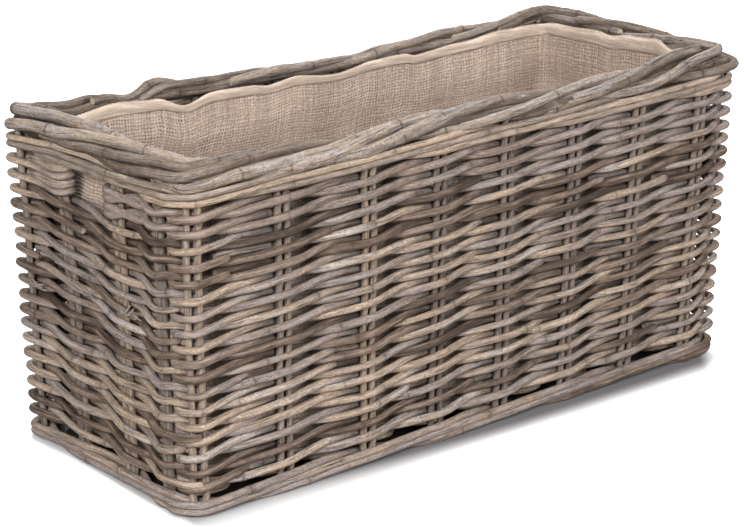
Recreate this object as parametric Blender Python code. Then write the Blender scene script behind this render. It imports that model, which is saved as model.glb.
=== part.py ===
"""Rectangular rattan storage basket with two hand holes and a hessian liner.

Every stake is one rod bent double, so it stands as a pair of legs. Rows of pairing, which is two rods
twined round the stakes, make the walls: each row is one rod doubled round a stake, with its two halves
twined on from there. Three-rod wales bind the foot and the top, and three thick rods rolled round each
other make the border. The base is one rod woven to and fro over three sticks.

Metres, +Z up, floor at z = 0, origin at the middle of the foot. The long walls run along X.
"""

import math
from dataclasses import dataclass

import bmesh
import bpy
from mathutils import Vector

# The plan, measured between the stake lines at the floor
LENGTH = 0.709
WIDTH = 0.274
# How far each wall has leant out at the top row
FLARE = 0.006
# The room between a wall's ends and the legs of its first and last stakes, its left end first as seen
# from outside
LONG_WALL_ROOM = (0.0, 0.0208)
SHORT_WALL_ROOM = (0.0064, 0.0294)
# Where the stakes stand between a wall's first and its last
LONG_WALL_SHARES = (0.0, 0.1543, 0.3108, 0.4461, 0.5803, 0.7209, 0.8584, 1.0)
SHORT_WALL_SHARES = (0.0, 0.3134, 0.7015, 1.0)

# The clearance between pieces that lie against each other
GAP = 0.0003

# The stakes, and how far they stay off the floor
STAKE_THICKNESS = 0.0075
LEG_GAP = 0.003
STAKE_RAISE = 0.003

# The rows of pairing
STRAND_THICKNESS = 0.0077
ROWS = 18
TAIL_SHARE = 0.5
WRAP_SHARES = ((0.75, 0.85), (1.0, 0.0), (0.75, -0.85))

# The hand hole in each short wall, between its middle two stakes, and how far the first of them is bent
# aside to widen it
HOLE_ROWS = 2
HOLE_SPREAD = 0.020
SPREAD_STEPS = 5

# The wales, and the depth that the foot is cut flat to stand on
FOOT_THICKNESS = 0.0080
FLAT_DEPTH = 0.0005
TOP_THICKNESS = 0.0064
WALE_RODS = 3
HUG_SHARE = 0.55

# The border
BORDER_THICKNESS = 0.0114
BORDER_WIDTH = 0.0370
BORDER_RODS = 3

# The base, and how far it stays off the floor
BASE_RAISE = 0.001
BASE_STICKS = 3
BASE_STICK_THICKNESS = 0.0076
BASE_STICK_INSET = 0.040
BASE_STICK_CLEARANCE = 0.0030
BASE_ROD_THICKNESS = 0.0058
BASE_PASS = 0.0340

# The liner
LINER_CLOTH = 0.0012
LINER_DROP = 0.0120
BAND_HEIGHT = 0.0150
BAND_CLOTH = 0.0016

# Linear red, green and blue
GREY_RATTAN = (0.235, 0.185, 0.140)
PALE_RATTAN = (0.330, 0.265, 0.195)
HESSIAN = (0.400, 0.300, 0.205)
COTTON = (0.560, 0.450, 0.310)

UP = Vector((0.0, 0.0, 1.0))


@dataclass(frozen=True)
class Section:
    """The outline of a rod, as tall as the rod is thick, with x pointing out of the basket."""

    thickness: float
    sides: int

    def corners(self):
        """The corners in the order that makes a swept rod's faces point out."""
        angles = [-math.tau * corner / self.sides for corner in range(self.sides)]
        radius = self.thickness / 2 / max(math.sin(angle) for angle in angles)
        return [Vector((radius * math.cos(angle), radius * math.sin(angle), 0.0)) for angle in angles]

    def radius(self):
        return self.corners()[0].length

    def inward(self):
        """How far the outline reaches towards the inside of the basket."""
        return -min(corner.x for corner in self.corners())

    def outward(self):
        return max(corner.x for corner in self.corners())


STAKE = Section(STAKE_THICKNESS, sides=4)
STRAND = Section(STRAND_THICKNESS, sides=3)
FOOT_ROD = Section(FOOT_THICKNESS, sides=4)
TOP_ROD = Section(TOP_THICKNESS, sides=3)
BORDER_ROD = Section(BORDER_THICKNESS, sides=4)
BASE_ROD = Section(BASE_ROD_THICKNESS, sides=3)

# Heights that follow from the rods, from the floor up
LEG_OFFSET = (STAKE_THICKNESS + LEG_GAP) / 2
STRAND_RISE = (STRAND_THICKNESS + GAP) / 2
ROW_PITCH = 4 * STRAND_RISE
FOOT_RISE = FOOT_THICKNESS + GAP
FOOT_LEVEL = FOOT_RISE + FOOT_THICKNESS / 2 - FLAT_DEPTH
FOOT_TOP = FOOT_LEVEL + FOOT_RISE + FOOT_THICKNESS / 2
FIRST_ROW = FOOT_TOP + GAP + ROW_PITCH / 2
LAST_ROW = FIRST_ROW + (ROWS - 1) * ROW_PITCH
TOP_RISE = TOP_THICKNESS + 2 * GAP
TOP_LEVEL = LAST_ROW + ROW_PITCH / 2 + GAP + TOP_RISE + TOP_THICKNESS / 2
STAKE_TOP = TOP_LEVEL + TOP_RISE + TOP_THICKNESS / 2
BORDER_SWING = BORDER_THICKNESS / 2 + 2 * GAP
BORDER_LEVEL = STAKE_TOP + GAP + BORDER_SWING + BORDER_THICKNESS / 2
HEIGHT = BORDER_LEVEL + BORDER_SWING + BORDER_THICKNESS / 2


def stations(length, room, shares):
    """Where the stakes of a wall stand, from its middle."""
    first, last = (end + LEG_OFFSET + STAKE.radius() for end in room)
    stretch = length - first - last
    return [first + stretch * share - length / 2 for share in shares]


class Plan:
    """Where the stakes stand, numbered round the basket from the front left corner."""

    def __init__(self):
        front = [Vector((x, -WIDTH / 2)) for x in stations(LENGTH, LONG_WALL_ROOM, LONG_WALL_SHARES)]
        right = [Vector((LENGTH / 2, y)) for y in stations(WIDTH, SHORT_WALL_ROOM, SHORT_WALL_SHARES)]
        # The rear and the left walls are the front and the right ones turned half round
        self.feet = front + right + [-place for place in front + right]
        self.count = len(self.feet)
        self.half = self.count // 2
        self.long_stakes = len(front)
        self.hole_sides = (self.long_stakes + 1, self.long_stakes + 2)

    def is_bent_aside(self, index):
        return index % self.half == self.hole_sides[0]

    def place(self, index, height):
        """The middle of a stake at this height, on its leaning wall."""
        foot = self.feet[index % self.count]
        lean = FLARE * height / LAST_ROW
        place = Vector((foot.x * (1 + lean / (LENGTH / 2)), foot.y * (1 + lean / (WIDTH / 2)), height))
        if self.is_bent_aside(index):
            aside = (self.feet[(index - 1) % self.count] - foot).normalized().to_3d()
            place += aside * (HOLE_SPREAD * min(height / LAST_ROW, 1.0) ** 3)
        return place

    def side(self, index, height):
        """The way from this stake to the next, level and of length one."""
        return (self.place(index + 1, height) - self.place(index, height)).normalized()

    def out(self, index, height):
        """Out of the basket, halving the corner that the stake line makes here."""
        return (self.side(index - 1, height) + self.side(index, height)).normalized().cross(UP)

    def along(self, index, height):
        return UP.cross(self.out(index, height))

    def middle(self, index, height):
        """Halfway from this stake to the next, on a smooth curve through the stakes."""
        near = self.place(index, height) + self.place(index + 1, height)
        far = self.place(index - 1, height) + self.place(index + 2, height)
        return near / 2 + (near - far) / 16

    def is_near_corner(self, index):
        """Whether the stretch from this stake to the next goes round a corner or lies beside one."""
        corners = (self.long_stakes - 1, self.half - 1)
        return any((index + step) % self.half in corners for step in (-1, 0, 1))

    def in_short_wall(self, index):
        """Whether this stake and the next both stand in a short wall."""
        return self.long_stakes <= index % self.half < self.half - 1

    def mitre(self, index, height):
        """How much of a step out at this stake counts as a step away from the walls on both sides."""
        return self.out(index, height).dot(self.side(index, height).cross(UP))

    def inset(self, index, height, distance):
        """A corner of the stake line's outline moved in by this distance."""
        return self.place(index, height) - self.out(index, height) * (distance / self.mitre(index, height))


PLAN = Plan()


def leg_clearance(section, facing):
    """From the middle of a stake's leg to the middle of a rod that passes it outside (1) or inside (-1)."""
    return STAKE.radius() + GAP + (section.inward() if facing > 0 else section.outward())


def reach(index, height, section, facing, changes=(True, True)):
    """How far a rod's middle keeps from the stake line so that it clears both legs of a stake.

    changes says, for the stake before and the one after, whether the rod passes that one on its other
    side. Such a stretch crosses the stake line halfway, and any other stretch runs level with it. Either
    way it touches a circle round the leg.
    """
    clearance = leg_clearance(section, facing)
    found = clearance
    for neighbour, direction, change in ((index - 1, -1, changes[0]), (index, 1, changes[1])):
        way = PLAN.middle(neighbour, height) - PLAN.place(index, height)
        across = way.dot(PLAN.along(index, height)) * direction
        ahead = way.dot(PLAN.out(index, height)) * facing
        if not change:
            slope = math.atan2(-ahead, across)
            found = max(found, LEG_OFFSET * math.tan(slope) + clearance / math.cos(slope))
            continue
        back_to_leg = Vector((across - LEG_OFFSET, -ahead))
        angle = math.atan2(back_to_leg.y, back_to_leg.x) + math.asin(clearance / back_to_leg.length)
        found = max(found, ahead + across * math.tan(angle))
    return found


def passing(index, height, section, facing, changes=(True, True)):
    """The middle of a rod where it passes a stake, outside or inside."""
    distance = facing * reach(index, height, section, facing, changes)
    return PLAN.place(index, height) + PLAN.out(index, height) * distance


def clear_scene():
    for thing in list(bpy.data.objects):
        bpy.data.objects.remove(thing, do_unlink=True)


def material(name, colour, roughness):
    made = bpy.data.materials.new(name)
    made.use_nodes = True
    shader = made.node_tree.nodes["Principled BSDF"]
    shader.inputs["Base Color"].default_value = (*colour, 1.0)
    shader.inputs["Roughness"].default_value = roughness
    shader.inputs["Metallic"].default_value = 0.0
    return made


def linked(name, data):
    made = bpy.data.objects.new(name, data)
    bpy.context.collection.objects.link(made)
    return made


def as_guide(thing):
    thing.hide_render = True
    thing.display_type = "WIRE"
    return thing


def outline(name, section):
    """The guide that rods of this section are swept along."""
    curve = bpy.data.curves.new(name, "CURVE")
    spline = curve.splines.new("POLY")
    corners = section.corners()
    spline.points.add(len(corners) - 1)
    for point, corner in zip(spline.points, corners):
        point.co = (*corner, 1.0)
    spline.use_cyclic_u = True
    return as_guide(linked(name, curve))


def rod(name, points, guide, look, tilts=None, twist="Z_UP"):
    """One rod with cut ends along the points."""
    curve = bpy.data.curves.new(name, "CURVE")
    curve.dimensions = "3D"
    curve.twist_mode = twist
    curve.bevel_mode = "OBJECT"
    curve.bevel_object = guide
    curve.use_fill_caps = True
    curve.materials.append(look)
    spline = curve.splines.new("POLY")
    spline.points.add(len(points) - 1)
    for number, (point, place) in enumerate(zip(spline.points, points)):
        point.co = (*place, 1.0)
        point.tilt = tilts[number] if tilts else 0.0
    return linked(name, curve)


def mesh_object(name, shape, look):
    mesh = bpy.data.meshes.new(name)
    shape.to_mesh(mesh)
    shape.free()
    mesh.materials.append(look)
    return linked(name, mesh)


def solid_rod(name, points, guide, look):
    """A rod turned into a mesh, so that it can be cut."""
    swept = rod(name, points, guide, look)
    bpy.context.view_layer.update()
    mesh = bpy.data.meshes.new_from_object(swept.evaluated_get(bpy.context.evaluated_depsgraph_get()))
    bpy.data.objects.remove(swept, do_unlink=True)
    return linked(name, mesh)


def make_stake(index, guide, look):
    """One rod bent double below, whose two legs lean with the wall."""
    low = STAKE_RAISE + STAKE.radius()
    bend = low + LEG_OFFSET
    steps = SPREAD_STEPS if PLAN.is_bent_aside(index) else 1
    heights = [bend + (STAKE_TOP - bend) * step / steps for step in range(steps + 1)]
    points = [PLAN.place(index, low)]
    for height in heights:
        leg = PLAN.along(index, height) * LEG_OFFSET
        points.insert(0, PLAN.place(index, height) - leg)
        points.append(PLAN.place(index, height) + leg)
    return rod(f"stake_{index + 1:02d}", points, guide, look, twist="MINIMUM")


def crossing(index, height, facing):
    """Where a strand crosses its partner, halfway from a stake that it passed on this side.

    On the long walls the strand that goes inside passes over the other. On the short walls the twist
    is the other way.
    """
    turn = -1 if PLAN.in_short_wall(index) else 1
    return PLAN.middle(index, height) + UP * (STRAND_RISE * facing * turn)


def strand_points(stakes, height, facing):
    """One of a row's two strands, which changes sides between stakes."""
    points = [passing(stakes[0], height, STRAND, facing)]
    for before, after in zip(stakes, stakes[1:]):
        points.append(crossing(before, height, facing))
        facing = -facing
        points.append(passing(after, height, STRAND, facing))
    return points, facing


def tail(index, height, facing):
    """The cut end of a strand, between the last crossing and the fold that the row began with."""
    before = crossing(index, height, facing)
    after = passing(index + 1, height, STRAND, -facing)
    return [before, before.lerp(after, TAIL_SHARE)]


def wrap(index, height, direction, facing):
    """Round one side of a stake, starting on the side that facing gives."""
    along = PLAN.along(index, height) * direction
    out = PLAN.out(index, height) * facing
    leg = PLAN.place(index, height) + along * LEG_OFFSET
    clearance = (STAKE.radius() + GAP + STRAND.radius()) / math.cos(math.pi / 8)
    depth = reach(index, height, STRAND, -1)
    return [
        leg + along * (clearance * along_share) + out * (depth * out_share)
        for along_share, out_share in WRAP_SHARES
    ]


def make_row(name, stakes, height, is_round, guide, look):
    """One rod doubled round the first stake, its two halves twined to the last.

    A full round ends just short of the fold. Beside a hand hole, the half that ends outside turns
    in round the last stake.
    """
    first, first_facing = strand_points(stakes, height, 1)
    second, second_facing = strand_points(stakes, height, -1)
    if is_round:
        first += tail(stakes[-1], height, first_facing)
        second += tail(stakes[-1], height, second_facing)
    else:
        ends_outside = first if first_facing > 0 else second
        ends_outside += wrap(stakes[-1], height, 1, 1)
    fold = wrap(stakes[0], height, -1, 1)
    # The outline is turned by half a corner where the rod runs the other way round the basket
    turned = math.pi / STRAND.sides
    tilts = [turned] * len(first)
    tilts += [turned * (1 - (number + 1) / (len(fold) + 1)) for number in range(len(fold))]
    tilts += [0.0] * len(second)
    return rod(name, first[::-1] + fold + second, guide, look, tilts)


def make_rows(guide, look):
    stakes_of_hole = PLAN.hole_sides
    for number in range(ROWS):
        height = FIRST_ROW + number * ROW_PITCH
        name = f"row_{number + 1:02d}"
        if number < ROWS - HOLE_ROWS:
            start = PLAN.half + 2 + number % (PLAN.long_stakes // 2)
            make_row(name, range(start, start + PLAN.count), height, True, guide, look)
            continue
        front = range(stakes_of_hole[1] - PLAN.half, stakes_of_hole[0] + 1)
        rear = range(stakes_of_hole[1], stakes_of_hole[0] + PLAN.half + 1)
        make_row(f"{name}_front", front, height, False, guide, look)
        make_row(f"{name}_rear", rear, height, False, guide, look)


def hugging(points, number, out, excess):
    """Two points in place of one that stands too far out at a sharp corner."""
    apex = points[number]
    return [
        apex.lerp(neighbour, min(excess / max((apex - neighbour).dot(out), excess), HUG_SHARE))
        for neighbour in (points[number - 1], points[number + 1])
    ]


def wale_points(number, level, rise, section):
    """A rod that passes inside one stake, then outside two, first low and then high."""
    steps = ((-1, 0.0), (1, -rise), (1, rise))
    start = PLAN.half + 2 + number
    points = []
    corners = []
    for turn in range(PLAN.count + 1):
        index = start + turn
        before, here, after = (steps[(turn + step) % len(steps)] for step in (-1, 0, 1))
        changes = (before[0] != here[0], after[0] != here[0])
        clearance = leg_clearance(section, here[0])
        height = level + here[1]
        excess = reach(index, height, section, here[0], changes) - clearance
        if excess > section.thickness:
            corners.append((len(points), PLAN.out(index, height) * here[0], excess))
        points.append(passing(index, height, section, here[0], changes))
        if PLAN.is_near_corner(index):
            height = level + (here[1] + after[1]) / 2
            aside = 0.0 if changes[1] else clearance
            points.append(PLAN.middle(index, height) + PLAN.side(index, height).cross(UP) * aside)
    for place, out, excess in reversed(corners):
        points[place : place + 1] = hugging(points, place, out, excess)
    # The two ends butt together inside the stake where the rod began
    slit = PLAN.along(start, level) * GAP
    points[0] += slit
    points[-1] -= slit
    return points


def make_foot_wale(guide, look):
    """Three rods, cut flat below for the basket to stand on."""
    shape = bmesh.new()
    bmesh.ops.create_cube(shape, size=1.0)
    box = (2 * LENGTH, 2 * WIDTH, FOOT_THICKNESS)
    bmesh.ops.scale(shape, vec=box, verts=shape.verts)
    bmesh.ops.translate(shape, vec=-UP * FOOT_THICKNESS / 2, verts=shape.verts)
    floor = as_guide(mesh_object("floor_cutter", shape, look))
    for number in range(WALE_RODS):
        points = wale_points(number, FOOT_LEVEL, FOOT_RISE, FOOT_ROD)
        made = solid_rod(f"foot_wale_rod_{number + 1}", points, guide, look)
        cut = made.modifiers.new("stand", "BOOLEAN")
        cut.object = floor


def make_top_wale(guide, look):
    for number in range(WALE_RODS):
        points = wale_points(number, TOP_LEVEL, TOP_RISE, TOP_ROD)
        rod(f"top_wale_rod_{number + 1}", points, guide, look)


def wall_outside():
    """How far the rows stand out from the stake line, halfway along a long wall."""
    return reach(PLAN.long_stakes // 2, LAST_ROW, STRAND, 1) + STRAND.outward()


def border_points(number):
    """A rod rolled round the border's middle line, once round every three stakes."""
    spread = (BORDER_WIDTH - BORDER_THICKNESS) / 2
    middle = wall_outside() - BORDER_WIDTH / 2
    start = PLAN.half + 2
    points = []
    for step in range(2 * PLAN.count + 1):
        index = start + step // 2
        angle = math.tau * ((step + 1) / 2 + number) / BORDER_RODS
        aside = middle + spread * math.cos(angle)
        here = PLAN.inset(index, BORDER_LEVEL, -aside)
        if step % 2:
            here = (here + PLAN.inset(index + 1, BORDER_LEVEL, -aside)) / 2
        points.append(here + UP * (BORDER_SWING * math.sin(angle) / math.sin(math.pi / BORDER_RODS)))
    slit = PLAN.side(start, BORDER_LEVEL) * GAP
    points[0] += slit
    points[-1] -= slit
    return points


def make_border(guide, look):
    for number in range(BORDER_RODS):
        rod(f"border_rod_{number + 1}", border_points(number), guide, look)


def base_half_sizes():
    """Half the length and the width that the foot wale leaves inside it."""
    places = [passing(index, 0.0, FOOT_ROD, -1) for index in range(PLAN.half)]
    length = min(place.x for place in places[PLAN.long_stakes :])
    width = min(-place.y for place in places[: PLAN.long_stakes])
    wale = FOOT_ROD.inward() + GAP
    return length - wale, width - wale


def base_swing():
    """How far the woven rod's middle passes over or under a stick's."""
    return BASE_STICK_THICKNESS / 2 + GAP + BASE_ROD.radius()


def base_level():
    return BASE_RAISE + BASE_ROD.radius() + base_swing()


def base_top():
    return base_level() + base_swing() + BASE_ROD.radius()


def base_stick_places():
    half_width = base_half_sizes()[1]
    outer = half_width - BASE_STICK_INSET
    return [outer * (2 * number / (BASE_STICKS - 1) - 1) for number in range(BASE_STICKS)]


def make_base(guide, look):
    """Sticks along the basket, and one rod woven to and fro over and under them."""
    half_length, half_width = base_half_sizes()
    # The sticks run on between the wale's rods
    stick_length = LENGTH - 2 * (FOOT_THICKNESS + BASE_STICK_CLEARANCE)
    for number, place in enumerate(base_stick_places()):
        shape = bmesh.new()
        bmesh.ops.create_cone(
            shape,
            cap_ends=True,
            segments=6,
            radius1=BASE_STICK_THICKNESS / 2,
            radius2=BASE_STICK_THICKNESS / 2,
            depth=stick_length,
        )
        stick = mesh_object(f"base_stick_{number + 1}", shape, look)
        stick.rotation_euler.y = math.pi / 2
        stick.location = (0.0, place, base_level())
    edge = half_width - BASE_ROD.radius()
    end = half_length - BASE_ROD.radius()
    passes = int(2 * end / BASE_PASS)
    pitch = 2 * end / passes
    points = []
    for number in range(passes + 1):
        way = 1 if number % 2 else -1
        x = pitch * number - end
        points.append(Vector((x, -way * edge, base_level())))
        for crossed, place in enumerate(base_stick_places()):
            over = 1 if (crossed + number) % 2 else -1
            points.append(Vector((x, way * place, base_level() + over * base_swing())))
        points.append(Vector((x, way * edge, base_level())))
    rod("base_weave", points, guide, look)


def ring_shape(heights, distance):
    """A closed band of faces on the stake line's outline moved in, between the heights."""
    shape = bmesh.new()
    rings = [
        [shape.verts.new(PLAN.inset(index, height, distance)) for index in range(PLAN.count)]
        for height in heights
    ]
    for index in range(PLAN.count):
        after = (index + 1) % PLAN.count
        shape.faces.new((rings[0][index], rings[0][after], rings[1][after], rings[1][index]))
    return shape, rings[0]


def wall_inside():
    """How far the rows reach in from the stake line."""
    depths = [reach(index, LAST_ROW, STRAND, -1) * PLAN.mitre(index, LAST_ROW) for index in range(PLAN.half)]
    return max(depths) + STRAND.inward()


def liner_inset():
    """How far in from the stake line the liner hangs, clear of the border and of the rows."""
    return max(BORDER_WIDTH - wall_outside(), wall_inside()) + GAP


def thickened(thing, thickness):
    """Gives a sheet its thickness on the side that faces into the basket."""
    solid = thing.modifiers.new("cloth", "SOLIDIFY")
    solid.thickness = thickness
    solid.offset = -1.0
    solid.use_even_offset = True
    return thing


def make_liner(hessian, cotton):
    """An open bag inside the border, and the band that binds its top edge."""
    top = HEIGHT - LINER_DROP
    distance = liner_inset()
    bag, foot = ring_shape((base_top() + GAP, top), distance)
    bag.faces.new(foot[::-1])
    thickened(mesh_object("liner", bag, hessian), LINER_CLOTH)
    band, _ = ring_shape((top - BAND_HEIGHT, top), distance + LINER_CLOTH + GAP)
    thickened(mesh_object("liner_band", band, cotton), BAND_CLOTH)


def main():
    clear_scene()
    grey = material("grey_rattan", GREY_RATTAN, roughness=0.75)
    pale = material("pale_rattan", PALE_RATTAN, roughness=0.8)
    hessian = material("hessian", HESSIAN, roughness=0.95)
    cotton = material("band_cotton", COTTON, roughness=0.9)
    stake_guide = outline("stake_outline", STAKE)
    for index in range(PLAN.count):
        make_stake(index, stake_guide, pale)
    make_rows(outline("strand_outline", STRAND), grey)
    make_foot_wale(outline("foot_rod_outline", FOOT_ROD), grey)
    make_top_wale(outline("top_rod_outline", TOP_ROD), pale)
    make_border(outline("border_rod_outline", BORDER_ROD), grey)
    make_base(outline("base_rod_outline", BASE_ROD), pale)
    make_liner(hessian, cotton)


main()
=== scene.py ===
"""Dresses the rattan storage basket: round, knotted rods, the rolled border and the hessian liner.

Everything is in metres, +Z up, with the floor at z = 0 and the long walls along X.
"""

from __future__ import annotations

import logging
import math
import random
from dataclasses import dataclass, field
from enum import Enum
from typing import Callable, Iterable, Sequence

import bmesh
import bpy
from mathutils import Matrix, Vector, noise

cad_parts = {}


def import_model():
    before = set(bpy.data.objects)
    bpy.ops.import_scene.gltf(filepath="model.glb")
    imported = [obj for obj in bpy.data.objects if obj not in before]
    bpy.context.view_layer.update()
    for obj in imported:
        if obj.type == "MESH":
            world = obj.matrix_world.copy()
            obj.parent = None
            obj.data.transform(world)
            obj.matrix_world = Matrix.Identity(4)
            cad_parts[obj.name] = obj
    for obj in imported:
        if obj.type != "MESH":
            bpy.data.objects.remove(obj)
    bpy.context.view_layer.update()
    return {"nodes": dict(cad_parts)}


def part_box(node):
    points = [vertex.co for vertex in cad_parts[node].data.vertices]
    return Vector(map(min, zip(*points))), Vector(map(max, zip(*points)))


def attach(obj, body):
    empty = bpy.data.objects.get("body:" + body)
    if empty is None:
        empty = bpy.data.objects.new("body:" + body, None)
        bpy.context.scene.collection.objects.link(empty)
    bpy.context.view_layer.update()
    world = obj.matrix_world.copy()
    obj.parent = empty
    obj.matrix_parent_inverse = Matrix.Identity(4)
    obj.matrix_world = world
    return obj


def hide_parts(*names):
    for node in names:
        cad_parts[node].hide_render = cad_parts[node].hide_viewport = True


LOG = logging.getLogger("basket")
UP = Vector((0.0, 0.0, 1.0))
Colour = tuple[float, float, float]
Place = tuple[float, float, float]
Span = tuple[float, float]
Profile = tuple[tuple[float, float], ...]
Rings = list[list[Vector]]


class Slot(Enum):
    """The material slots."""

    GREY = "grey_rattan"
    PALE = "pale_rattan"
    HESSIAN = "hessian"
    BAND = "band_cotton"


# Node trees


class Value:
    """A socket in a node tree on which sums can be written."""

    def __init__(self, tree: Tree, socket: bpy.types.NodeSocket) -> None:
        """Wraps the output socket of a node in that tree."""
        self.tree = tree
        self.socket = socket

    def _math(self, operation: str, other: Value | float = 0.0, swapped: bool = False) -> Value:
        """Adds one Math node.

        Args:
            operation: the Math node's operation.
            other: the second operand.
            swapped: whether the operands change places.

        Returns:
            The result's socket.
        """
        first, second = (other, self) if swapped else (self, other)
        return self.tree.node("ShaderNodeMath", {"operation": operation}, {0: first, 1: second})

    def __add__(self, other: Value | float) -> Value:
        """self + other."""
        return self._math("ADD", other)

    __radd__ = __add__

    def __mul__(self, other: Value | float) -> Value:
        """self * other."""
        return self._math("MULTIPLY", other)

    __rmul__ = __mul__

    def __sub__(self, other: Value | float) -> Value:
        """self - other."""
        return self._math("SUBTRACT", other)

    def __rsub__(self, other: float) -> Value:
        """other - self."""
        return self._math("SUBTRACT", other, swapped=True)

    def __truediv__(self, other: Value | float) -> Value:
        """self / other."""
        return self._math("DIVIDE", other)

    def __pow__(self, power: Value | float) -> Value:
        """self to a power."""
        return self._math("POWER", power)

    def __abs__(self) -> Value:
        """The value without its sign."""
        return self._math("ABSOLUTE")

    def fraction(self) -> Value:
        """What is left above the next lower whole number."""
        return self._math("FRACT")

    def sine(self) -> Value:
        """The sine of an angle in radians."""
        return self._math("SINE")

    def least(self, other: Value | float) -> Value:
        """The smaller of two values."""
        return self._math("MINIMUM", other)

    def most(self, other: Value | float) -> Value:
        """The larger of two values."""
        return self._math("MAXIMUM", other)

    def rise(self, low: float, high: float) -> Value:
        """A smooth step from 0 at low to 1 at high."""
        settings = {"interpolation_type": "SMOOTHSTEP"}
        inputs = {"Value": self, "From Min": low, "From Max": high}
        return self.tree.node("ShaderNodeMapRange", settings, inputs)

    def fall(self, low: float, high: float) -> Value:
        """A smooth step from 1 at low to 0 at high."""
        return 1.0 - self.rise(low, high)


Input = Value | float | int | bool | tuple | str | bpy.types.Material | None


class Tree:
    """A shader or geometry node tree under construction."""

    def __init__(self, nodes: bpy.types.NodeTree) -> None:
        """Wraps the tree that the nodes go into."""
        self.nodes = nodes

    def node(
        self,
        kind: str,
        settings: dict[str, object] | None = None,
        inputs: dict[int | str, Input] | None = None,
        output: int | str = 0,
    ) -> Value:
        """Adds a node of any type.

        Args:
            kind: the node's type.
            settings: its properties, set first. "stops" fills a ramp with (place, colour) pairs.
            inputs: a value or a link for each named or numbered input.
            output: which output to return.

        Returns:
            The chosen output.
        """
        made = self.nodes.nodes.new(kind)
        for name, value in (settings or {}).items():
            if name == "stops":
                self._fill(made.color_ramp, value)
            else:
                setattr(made, name, value)
        for name, value in (inputs or {}).items():
            if isinstance(value, Value):
                self.nodes.links.new(value.socket, made.inputs[name])
            else:
                made.inputs[name].default_value = value
        return Value(self, made.outputs[output]) if made.outputs else Value(self, made.inputs[0])

    @staticmethod
    def _fill(ramp: bpy.types.ColorRamp, stops: Sequence[tuple[float, tuple]]) -> None:
        """Gives a colour ramp its stops."""
        while len(ramp.elements) < len(stops):
            ramp.elements.new(0.5)
        for element, (place, colour) in zip(ramp.elements, stops):
            element.position = place
            element.color = (*colour, 1.0)

    def attribute(self, name: str, output: str = "Fac") -> Value:
        """An attribute of the mesh, in a shader tree."""
        return self.node("ShaderNodeAttribute", {"attribute_name": name}, output=output)

    def join(self, x: Value | float, y: Value | float, z: Value | float) -> Value:
        """A vector of three values."""
        return self.node("ShaderNodeCombineXYZ", None, {0: x, 1: y, 2: z})

    def parts(self, vector: Value) -> tuple[Value, Value, Value]:
        """The three values of a vector."""
        first = self.node("ShaderNodeSeparateXYZ", None, {0: vector})
        outputs = first.socket.node.outputs
        return first, Value(self, outputs[1]), Value(self, outputs[2])

    def vectors(self, operation: str, first: Value | tuple, second: Value | tuple) -> Value:
        """Adds one Vector Math node."""
        return self.node("ShaderNodeVectorMath", {"operation": operation}, {0: first, 1: second})

    def scaled(self, vector: Value, scale: Value | float) -> Value:
        """A vector times a value."""
        return self.node("ShaderNodeVectorMath", {"operation": "SCALE"}, {0: vector, "Scale": scale})

    def noise(
        self, place: Value, scale: float = 1.0, detail: float = 2.0, output: int = 0, rough: float = 0.5
    ) -> Value:
        """Smooth noise about 0.5 at a place.

        Args:
            place: where it is read.
            scale: how fine it is.
            detail: how many finer noises are added to it.
            output: 0 for a value, 1 for a vector.
            rough: how strong the finer noises are.

        Returns:
            The noise.
        """
        inputs = {"Vector": place, "Scale": scale, "Detail": detail, "Roughness": rough}
        return self.node("ShaderNodeTexNoise", None, inputs, output)

    def blend(
        self, first: Value | tuple, second: Value | tuple, share: Value | float, kind: str = "MIX"
    ) -> Value:
        """Two colours mixed.

        Args:
            first: the colour at share 0.
            second: the colour at share 1.
            share: how far the mix goes to the second.
            kind: the Mix node's blend type.

        Returns:
            The mixed colour.
        """
        settings = {"data_type": "RGBA", "blend_type": kind, "clamp_factor": True}
        inputs = {0: share, 6: _opaque(first), 7: _opaque(second)}
        return self.node("ShaderNodeMix", settings, inputs, 2)

    def bump(self, height: Value, strength: float, depth: float) -> Value:
        """A normal that follows this height, at most so deep."""
        inputs = {"Strength": strength, "Distance": depth, "Height": height}
        return self.node("ShaderNodeBump", None, inputs)


def _opaque(colour: Value | Colour) -> Value | tuple:
    """A colour of three numbers with its alpha added."""
    return (*colour, 1.0) if isinstance(colour, tuple) else colour


class Finish:
    """A material that is built once and shared."""

    name: str

    def paint(self, tree: Tree, shader: bpy.types.Node) -> None:
        """Links what varies over the surface to the shader."""
        raise NotImplementedError

    def build(self) -> bpy.types.Material:
        """Makes the material.

        Returns:
            The material, with its nodes.
        """
        found = bpy.data.materials.get(self.name)
        if found:
            return found
        made = bpy.data.materials.new(self.name)
        made.use_nodes = True
        tree = Tree(made.node_tree)
        self.paint(tree, made.node_tree.nodes["Principled BSDF"])
        return made


def feed(tree: Tree, shader: bpy.types.Node, **links: Value | float | tuple) -> None:
    """Links or sets sockets of a shader.

    Args:
        tree: what it stands in.
        shader: the shader.
        links: by socket, with underscores in place of the spaces in its name.
    """
    for name, value in links.items():
        socket = shader.inputs[name.replace("_", " ")]
        if isinstance(value, Value):
            tree.nodes.links.new(value.socket, socket)
        else:
            socket.default_value = value


@dataclass(frozen=True)
class Grain:
    """A noise on a rod: how fine it is round the rod and along it, and how detailed."""

    around: float
    along: float
    detail: float = 2.0
    rough: float = 0.5


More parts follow.
